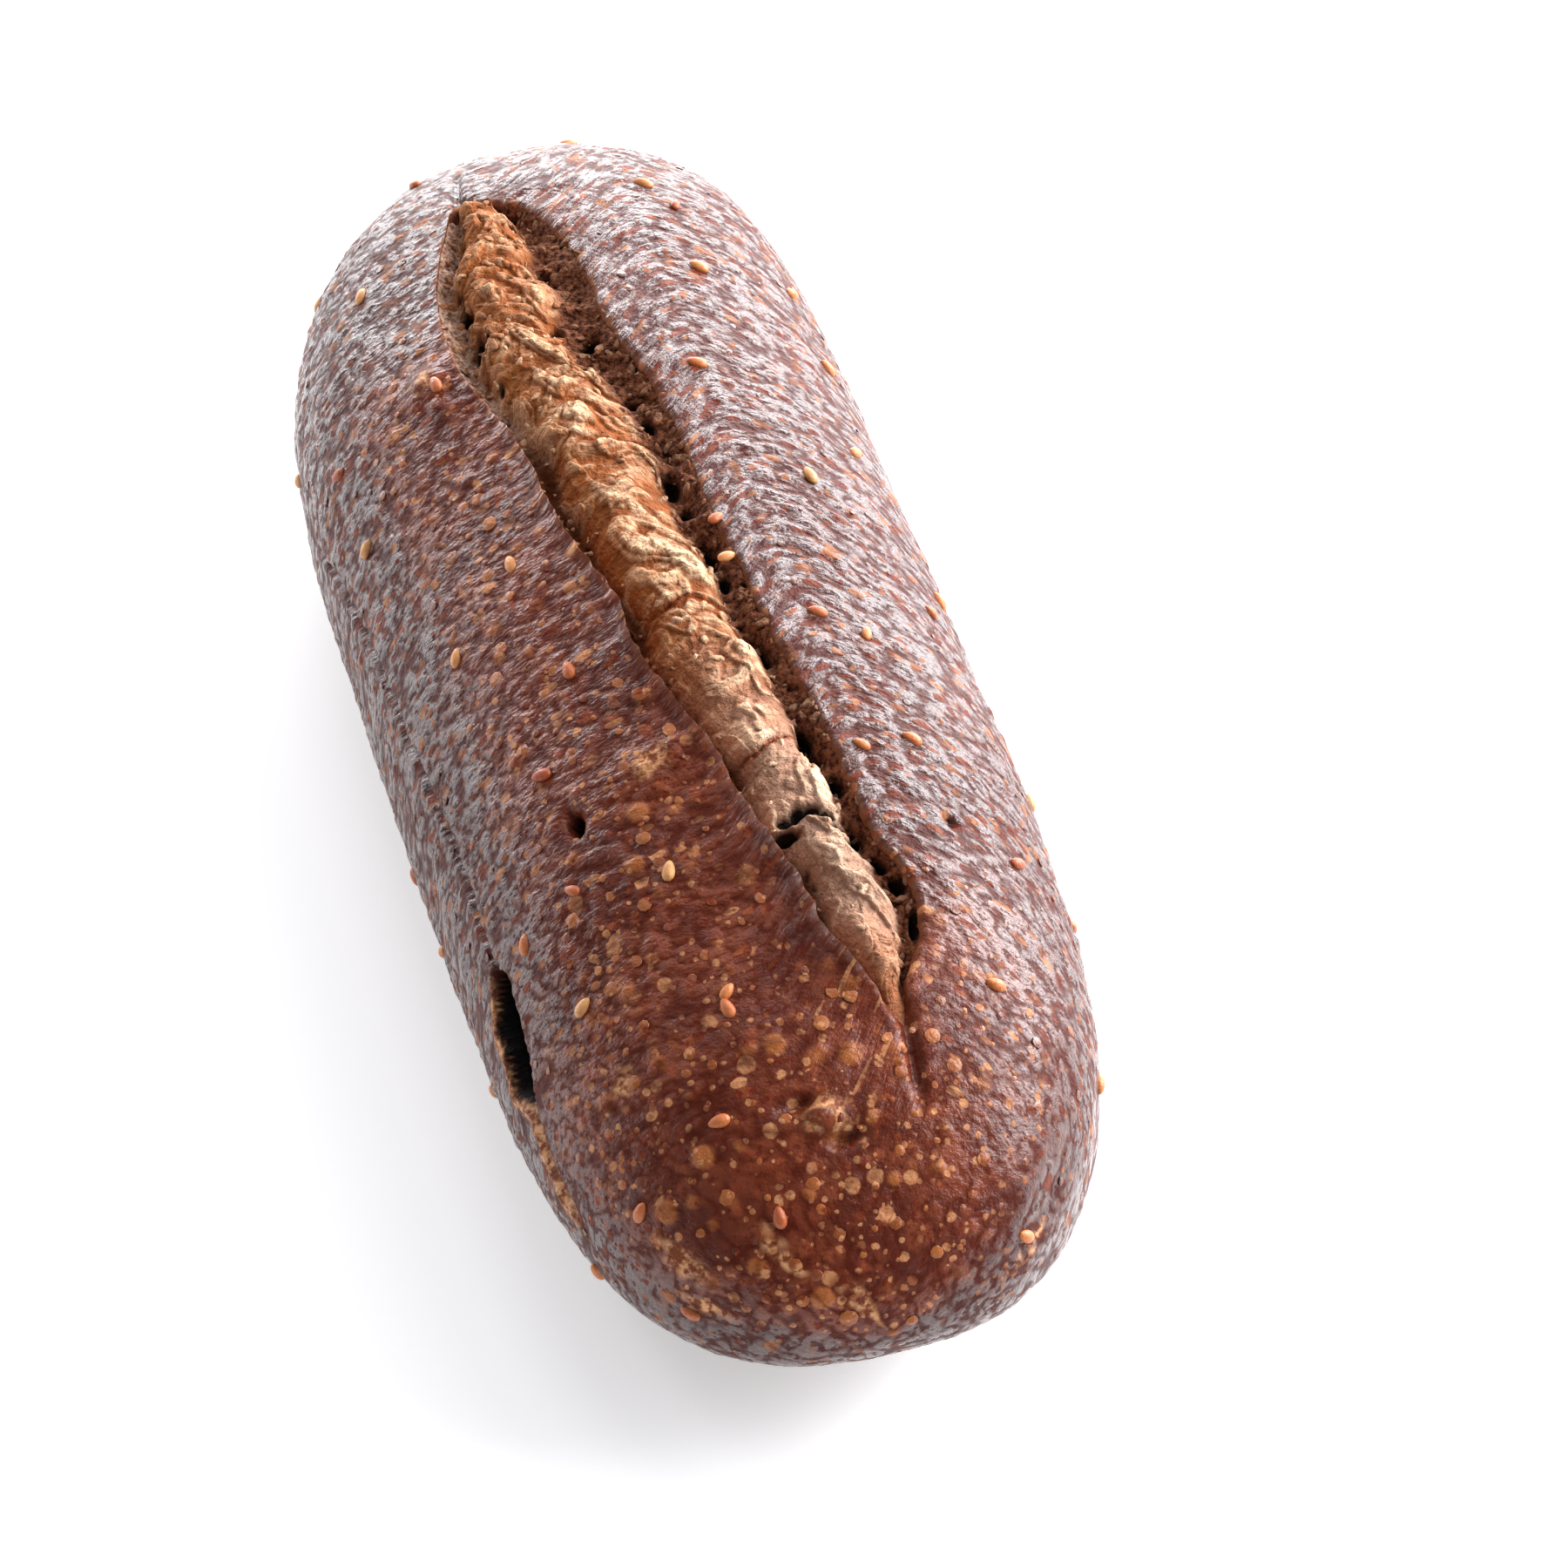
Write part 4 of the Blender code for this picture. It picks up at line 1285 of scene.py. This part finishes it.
def dress_points(obj, name, sizes, make_shape, finish, noise_size=None):
    """Turns a cloud into a plain mesh of shapes. The last of the sizes is the reach of the noise, if any."""
    tree = bpy.data.node_groups.new(name, "GeometryNodeTree")
    sockets = [("Geometry", "INPUT", "Geometry"), *((label, "INPUT", "Float") for label in sizes)]
    sockets += [("Material", "INPUT", "Material"), ("Geometry", "OUTPUT", "Geometry")]
    for label, side, kind in sockets:
        tree.interface.new_socket(label, in_out=side, socket_type="NodeSocket" + kind)
    given = tree.nodes.new("NodeGroupInput").outputs
    shapes = laid_copies(tree, given["Geometry"], make_shape(tree, given))
    if noise_size:
        shapes = pulled_about(tree, shapes, noise_size, given[list(sizes)[-1]])
    smooth = add(tree, "GeometryNodeSetShadeSmooth", {"Geometry": shapes}).outputs[0]
    inputs = {"Geometry": smooth, "Material": given["Material"]}
    done = add(tree, "GeometryNodeSetMaterial", inputs).outputs[0]
    tree.links.new(done, tree.nodes.new("NodeGroupOutput").inputs[0])

    modifier = obj.modifiers.new(name, "NODES")
    modifier.node_group = tree
    values = {**sizes, "Material": finish}
    for socket in tree.interface.items_tree:
        if socket.in_out == "INPUT" and socket.name in values:
            modifier[socket.identifier] = values[socket.name]
    made = bpy.data.meshes.new_from_object(obj.evaluated_get(bpy.context.evaluated_depsgraph_get()))
    obj.modifiers.clear()
    old, obj.data = obj.data, made
    bpy.data.meshes.remove(old)
    made.name = obj.name
    print(obj.name, "triangles:", triangles(obj))


def ball_points(tree):
    """The x, y and z of each point of a shape."""
    position = add(tree, "GeometryNodeInputPosition").outputs[0]
    return add(tree, "ShaderNodeSeparateXYZ", {0: position}).outputs


def moved_to(tree, shape, x, y, z):
    new_place = add(tree, "ShaderNodeCombineXYZ", {"X": x, "Y": y, "Z": z}).outputs[0]
    return add(tree, "GeometryNodeSetPosition", {"Geometry": shape, "Position": new_place}).outputs[0]


probe, _ = on_skin(np.array([0.0]), np.array([90.0]))
print("the skin over the middle of the loaf is at, mm:", np.round(1000 * probe[0], 1))

# %% [markdown]
# The seeds come first. Those that stand out are listed one by one, and the rest are an even random spread.
# They stand at the same places as the plain loaf's own seeds, so the same draw is made here, with a few
# more that the portrait shows.

# %% Places for the seeds
SEED_SIZE = (0.0036, 0.0025, 0.0018)
SEED_COUNT, SEED_SPACING, SEED_DRAW = 54, 0.0165, 11
SEED_SPAN, SEED_ANGLES = 0.47 * LENGTH, (-25.0, 200.0)
LIP_CLEARANCE, SEAM_CLEARANCE = 8.0, 12.0
EXTRA_SIZE = 0.85
SHOWN_SEEDS = [
    (-0.0951, 6.0),
    (-0.088, 108.0),
    (-0.020, 71.0),
    (-0.118, 117.0),
    (0.048, 120.0),
    (0.012, 60.0),
]
# The plain loaf's own cut, which is a little straighter, keeps its seeds off the slash
PLAIN_LEFT = [
    (0.098, -0.0125),
    (0.086, -0.0200),
    (0.064, -0.0258),
    (0.040, -0.0226),
    (0.010, -0.0172),
    (-0.017, -0.0119),
    (-0.049, -0.0042),
    (-0.082, 0.0060),
    (-0.097, 0.0112),
]
PLAIN_RIGHT = [
    (0.098, -0.0120),
    (0.086, -0.0052),
    (0.064, 0.0009),
    (0.040, 0.0042),
    (0.010, 0.0071),
    (-0.017, 0.0096),
    (-0.049, 0.0144),
    (-0.075, 0.0200),
    (-0.085, 0.0172),
    (-0.097, 0.0126),
]
EXTRA_SEEDS = [
    (0.0630, 103.4),
    (0.0527, 106.5),
    (0.0845, 63.8),
    (0.0021, 83.0),
    (-0.0071, 84.0),
    (-0.0239, 61.5),
    (-0.0121, 36.5),
    (-0.0480, 72.5),
    (-0.0585, 131.1),
    (-0.0855, 107.0),
]


def seed_places():
    """The plain loaf's own seeds: the ones that stand out first, then an even random spread."""
    draw = random.Random(SEED_DRAW)
    places = [(y, angle, draw.uniform(0, 180)) for y, angle in SHOWN_SEEDS]
    found = [section(np.array(2 * y / LENGTH), np.array(angle)) for y, angle, _ in places]
    while len(places) < SEED_COUNT:
        y, angle = draw.uniform(-SEED_SPAN, SEED_SPAN), draw.uniform(*SEED_ANGLES)
        here, t = np.array(y), np.array(2 * y / LENGTH)
        point = section(t, np.array(angle))
        left, right = lip_angles(here, t, smooth_curve(PLAIN_LEFT, here), smooth_curve(PLAIN_RIGHT, here))
        off_slash = angle < right - LIP_CLEARANCE or angle > left + LIP_CLEARANCE
        from_seam = abs(angle - smooth_curve(SEAM_PATH, here))
        off_seam = from_seam > SEAM_CLEARANCE or not CRACK_NEAR < y < CRACK_FAR
        if off_slash and off_seam and all(np.linalg.norm(point - other) > SEED_SPACING for other in found):
            places.append((y, angle, draw.uniform(0, 180)))
            found.append(point)
    return places


places = [(*p, 1.0) for p in seed_places()]
draw = random.Random(4)
places += [(y, angle, draw.uniform(0, 180), EXTRA_SIZE) for y, angle in EXTRA_SEEDS]
seed_y, seed_angle, seed_turn, seed_size = np.array(places).T
toast = np.array([draw.random() for _ in places])
print("seeds:", len(places))

# %% [markdown]
# The seed itself starts as a ball. One line of vector maths draws it out, and narrows one end, which is
# what tells a sesame seed from a bead. Its colour comes from toasting: amber, with some orange and some
# pale.

# %% Seeds
seed_finish, tree, shader, place = new_finish("toasted_seed")
tone = stored(tree, "tone")
colour = layered(
    tree,
    blend(tree, between(tree, tone, 0.0, 0.45), paint(146, 62, 32), paint(206, 122, 66)),
    (between(tree, tone, 0.5, 1.0), paint(212, 160, 100)),
    (between(tree, grain_noise(tree, place, 0.0012), 0.35, 0.7, 0, 0.5), paint(160, 78, 40)),
)
connect(tree, shader, {
    "Base Color": colour,
    "Roughness": between(tree, grain_noise(tree, place, 0.0008), 0.3, 0.7, 0.34, 0.5),
    "Normal": bump(tree, grain_noise(tree, place, 0.0005), 0.00012),
})


def seed_shape(tree, given):
    ball = add(tree, "GeometryNodeMeshUVSphere", {"Segments": 16, "Rings": 10, "Radius": 0.5}).outputs["Mesh"]
    x, y, z = ball_points(tree)
    lopsided = times(tree, plus(tree, x, 0.5), given["Narrowing"])
    kept = reckon(tree, "SUBTRACT", 1.0, lopsided)
    width = times(tree, times(tree, y, given["Width"]), kept)
    return moved_to(tree, ball, times(tree, x, given["Length"]), width, times(tree, z, given["Thickness"]))


numbers = {"turn": np.radians(seed_turn), "size": seed_size, "tone": toast}
seeds = cloud("seeds", *on_skin(seed_y, seed_angle), numbers)
sizes = {**dict(zip(("Length", "Width", "Thickness"), SEED_SIZE)), "Narrowing": 0.35}
dress_points(seeds, "seeds_on_points", sizes, seed_shape, seed_finish)

# %% [markdown]
# The crust is also covered in small crisp blisters, hundreds of them, thickest on the dome of the near end.
# They get the same treatment, with a low dome instead of a seed, and a dome this small needs few faces. The
# places come from a dart-throwing draw: a new dart counts only if no earlier one is too near.

# %% Places for the blisters
BLISTER_COUNT, BLISTER_DRAW = 900, 12
BLISTER_SPACING = 0.0026
DARTS = 12 * BLISTER_COUNT
EDGE_CLEARANCE = 2.5


def blister_places():
    draws = np.random.default_rng(BLISTER_DRAW)
    y = draws.uniform(-0.499, 0.499, DARTS) * LENGTH
    angle = draws.uniform(-50, 230, DARTS)
    t = 2 * y / LENGTH
    size = draws.random(DARTS)
    left, right = lips(t)
    off_slash = (angle < right - EDGE_CLEARANCE) | (angle > left + EDGE_CLEARANCE) | (openness(y) == 0)
    girth = half_width(t) / (WIDTH / 2)
    crowded = 0.22 + 0.78 * blistered(y, angle)
    kept = off_slash & (draws.random(DARTS) < girth * crowded)
    y, angle, size, t = y[kept], angle[kept], size[kept], t[kept]
    points = section(t, angle)
    chosen, filled = [], {}
    for i, cell in enumerate(map(tuple, np.floor(points / BLISTER_SPACING).astype(int))):
        around = itertools.product(*[(c - 1, c, c + 1) for c in cell])
        near = [points[filled[n]] for n in around if n in filled]
        if all(np.linalg.norm(points[i] - other) > BLISTER_SPACING for other in near):
            filled[cell] = i
            chosen.append(i)
        if len(chosen) == BLISTER_COUNT:
            break
    return y[chosen], angle[chosen], size[chosen]


blister_y, blister_angle, blister_size = blister_places()
print("blisters:", len(blister_y))

# %% [markdown]
# A blister is a ball squeezed flat, with a soft foot where it leaves the skin. Its size is drawn so that most
# are small, and those where blisters crowd are larger.

# %% Blisters
BLISTER_SIZES = {"Radius": 0.0010, "Steepness": 0.18, "Wobble": 0.0004}


def blister_shape(tree, given):
    """A ball squeezed into a low dome. Cubing its height gives it a soft foot."""
    ball = add(tree, "GeometryNodeMeshUVSphere", {"Segments": 8, "Rings": 6, "Radius": 1.0}).outputs["Mesh"]
    x, y, z = ball_points(tree)
    cubed = times(tree, times(tree, z, z), z)
    height = times(tree, cubed, times(tree, given["Radius"], given["Steepness"]))
    return moved_to(tree, ball, times(tree, x, given["Radius"]), times(tree, y, given["Radius"]), height)


draws = np.random.default_rng(13)
crowding = blistered(blister_y, blister_angle)
numbers = {
    "turn": draws.uniform(0, 6.28, len(blister_y)),
    "size": (0.50 + 0.90 * blister_size**3) * (0.75 + 0.35 * crowding),
    "blister": 0.7 * draws.random(len(blister_y)),
    "crowd": crowding,
    "end": np.ones(len(blister_y)),
    "calm": np.ones(len(blister_y)),
}
blisters = cloud("blisters", *on_skin(blister_y, blister_angle), numbers)
dress_points(blisters, "blisters_on_points", BLISTER_SIZES, blister_shape, crust_finish, noise_size=0.0016)

# %% [markdown]
# Torn crumb also leaves bits standing: little rags and clods along the gaps, most of them in the rough far
# half. They are one lumpy ball, flattened and turned anew for each place, and they share the crumb's
# finish.

# %% Rags of torn crumb
BIT_COUNT = 520
BIT_SIZES = {"Length": 0.0009, "Width": 0.0005, "Thickness": 0.0003, "Raggedness": 0.0010}


def bit_shape(tree, given):
    ball = add(tree, "GeometryNodeMeshIcoSphere", {"Radius": 1.0, "Subdivisions": 2}).outputs["Mesh"]
    squash = {axis: given[label] for axis, label in zip("XYZ", BIT_SIZES)}
    squash = add(tree, "ShaderNodeCombineXYZ", squash).outputs[0]
    return add(tree, "GeometryNodeTransform", {"Geometry": ball, "Scale": squash}).outputs[0]


draws = np.random.default_rng(17)
top_points = np.flatnonzero(np.append(on_top, [False, False]))
beside_ridge = crumb_marks["right_wall"][:-2] + crumb_marks["shaded"][:-2]
weight = ((0.25 + far_part + 0.8 * beside_ridge) * (opened > 0.8))[top_points]
chosen = draws.choice(top_points, BIT_COUNT, replace=False, p=weight / weight.sum())
facing = np.array([crumb.data.vertices[int(i)].normal for i in chosen])
facing = facing + draws.normal(0, 0.35, (BIT_COUNT, 3))
numbers = {
    "turn": draws.uniform(0, 6.28, BIT_COUNT),
    "size": 0.5 + 1.1 * draws.random(BIT_COUNT) ** 2,
    "crest": draws.uniform(0.2, 0.9, BIT_COUNT),
    "right_wall": 0.7 * crumb_marks["right_wall"][chosen],
}
bits = cloud("crumb_bits", crumb_points[chosen], facing, numbers)
dress_points(bits, "bits_on_points", BIT_SIZES, bit_shape, crumb_finish, noise_size=0.0007)

# %% [markdown]
# The stage is plain: a pale floor and soft lights. The portrait is lit from behind and from the right, so
# the far end and the right flank mirror the brightness and turn whitish, while the near dome mirrors the
# dimmer room and stays deep brown. Two small panels above add a gleam to the left shoulder and the crumb.
# Large, even panels give soft reflections.

# %% Floor and light
FLOOR_REACH = 3
floor_corners = [(x * FLOOR_REACH, y * FLOOR_REACH, 0) for x, y in ((-1, -1), (1, -1), (1, 1), (-1, 1))]
floor_mesh = bpy.data.meshes.new("floor")
floor_mesh.from_pydata(floor_corners, [], [(0, 1, 2, 3)])
floor = in_scene("floor", floor_mesh)
floor_finish, tree, shader, place = new_finish("pale_floor")
connect(tree, shader, {
    "Base Color": blend(tree, grain_noise(tree, place, 0.4), (0.86, 0.86, 0.87, 1), (0.89, 0.89, 0.89, 1)),
    "Roughness": 0.7,
    "Emission Color": (1.0, 1.0, 1.0, 1.0),
    "Emission Strength": 0.38,
})
floor_mesh.materials.append(floor_finish)

# Soft panels: (name, place, width, height, radiance, colour)
COOL, NEUTRAL = (0.98, 0.98, 1.0), (0.99, 0.99, 1.0)
PANELS = [
    ("behind_right", (1.05, 0.95, 0.38), 1.6, 0.76, 10.2, COOL),
    ("behind", (-0.15, 1.50, 0.27), 1.5, 0.54, 11.0, COOL),
    ("behind_left", (-1.25, 0.75, 0.24), 1.3, 0.46, 3.0, COOL),
    ("right", (1.05, 0.00, 0.68), 1.1, 0.90, 10.5, COOL),
    ("high_right", (0.80, 0.45, 1.40), 0.7, 0.7, 4.0, NEUTRAL),
    ("overhead", (0.02, 0.42, 1.05), 0.34, 0.24, 6.0, COOL),
    ("upper_left", (-0.52, 0.36, 0.86), 0.26, 0.20, 5.0, COOL),
]
for name, spot, panel_width, panel_height, radiance, tint in PANELS:
    light = bpy.data.lights.new(name, "AREA")
    light.shape = "RECTANGLE"
    light.size, light.size_y = panel_width, panel_height
    light.energy = radiance * math.pi * panel_width * panel_height
    light.color = tint
    lamp = in_scene(name, light)
    lamp.location = spot
    lamp.rotation_euler = (LOAF_MIDDLE - Vector(spot)).to_track_quat("-Z", "Y").to_euler()

world = bpy.data.worlds.new("room")
bpy.context.scene.world = world
world.use_nodes = True
room = {"Color": (0.92, 0.95, 1.0, 1.0), "Strength": 0.36}
connect(world.node_tree, world.node_tree.nodes["Background"], room)
bpy.context.scene.view_settings.view_transform = "Standard"
print("panels:", len(PANELS))

# %% [markdown]
# Last, every piece is tied to the frame. They all stand for the one solid loaf and ride on its one body.

# %% Tie the pieces to the frame
for piece, finish in (
    *((piece, "crust") for piece in crust_pieces),
    (crumb, "crumb"),
    (bits, "crumb"),
    (seeds, "seeds"),
    (blisters, "crust"),
):
    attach(piece, "root")
    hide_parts("loaf")
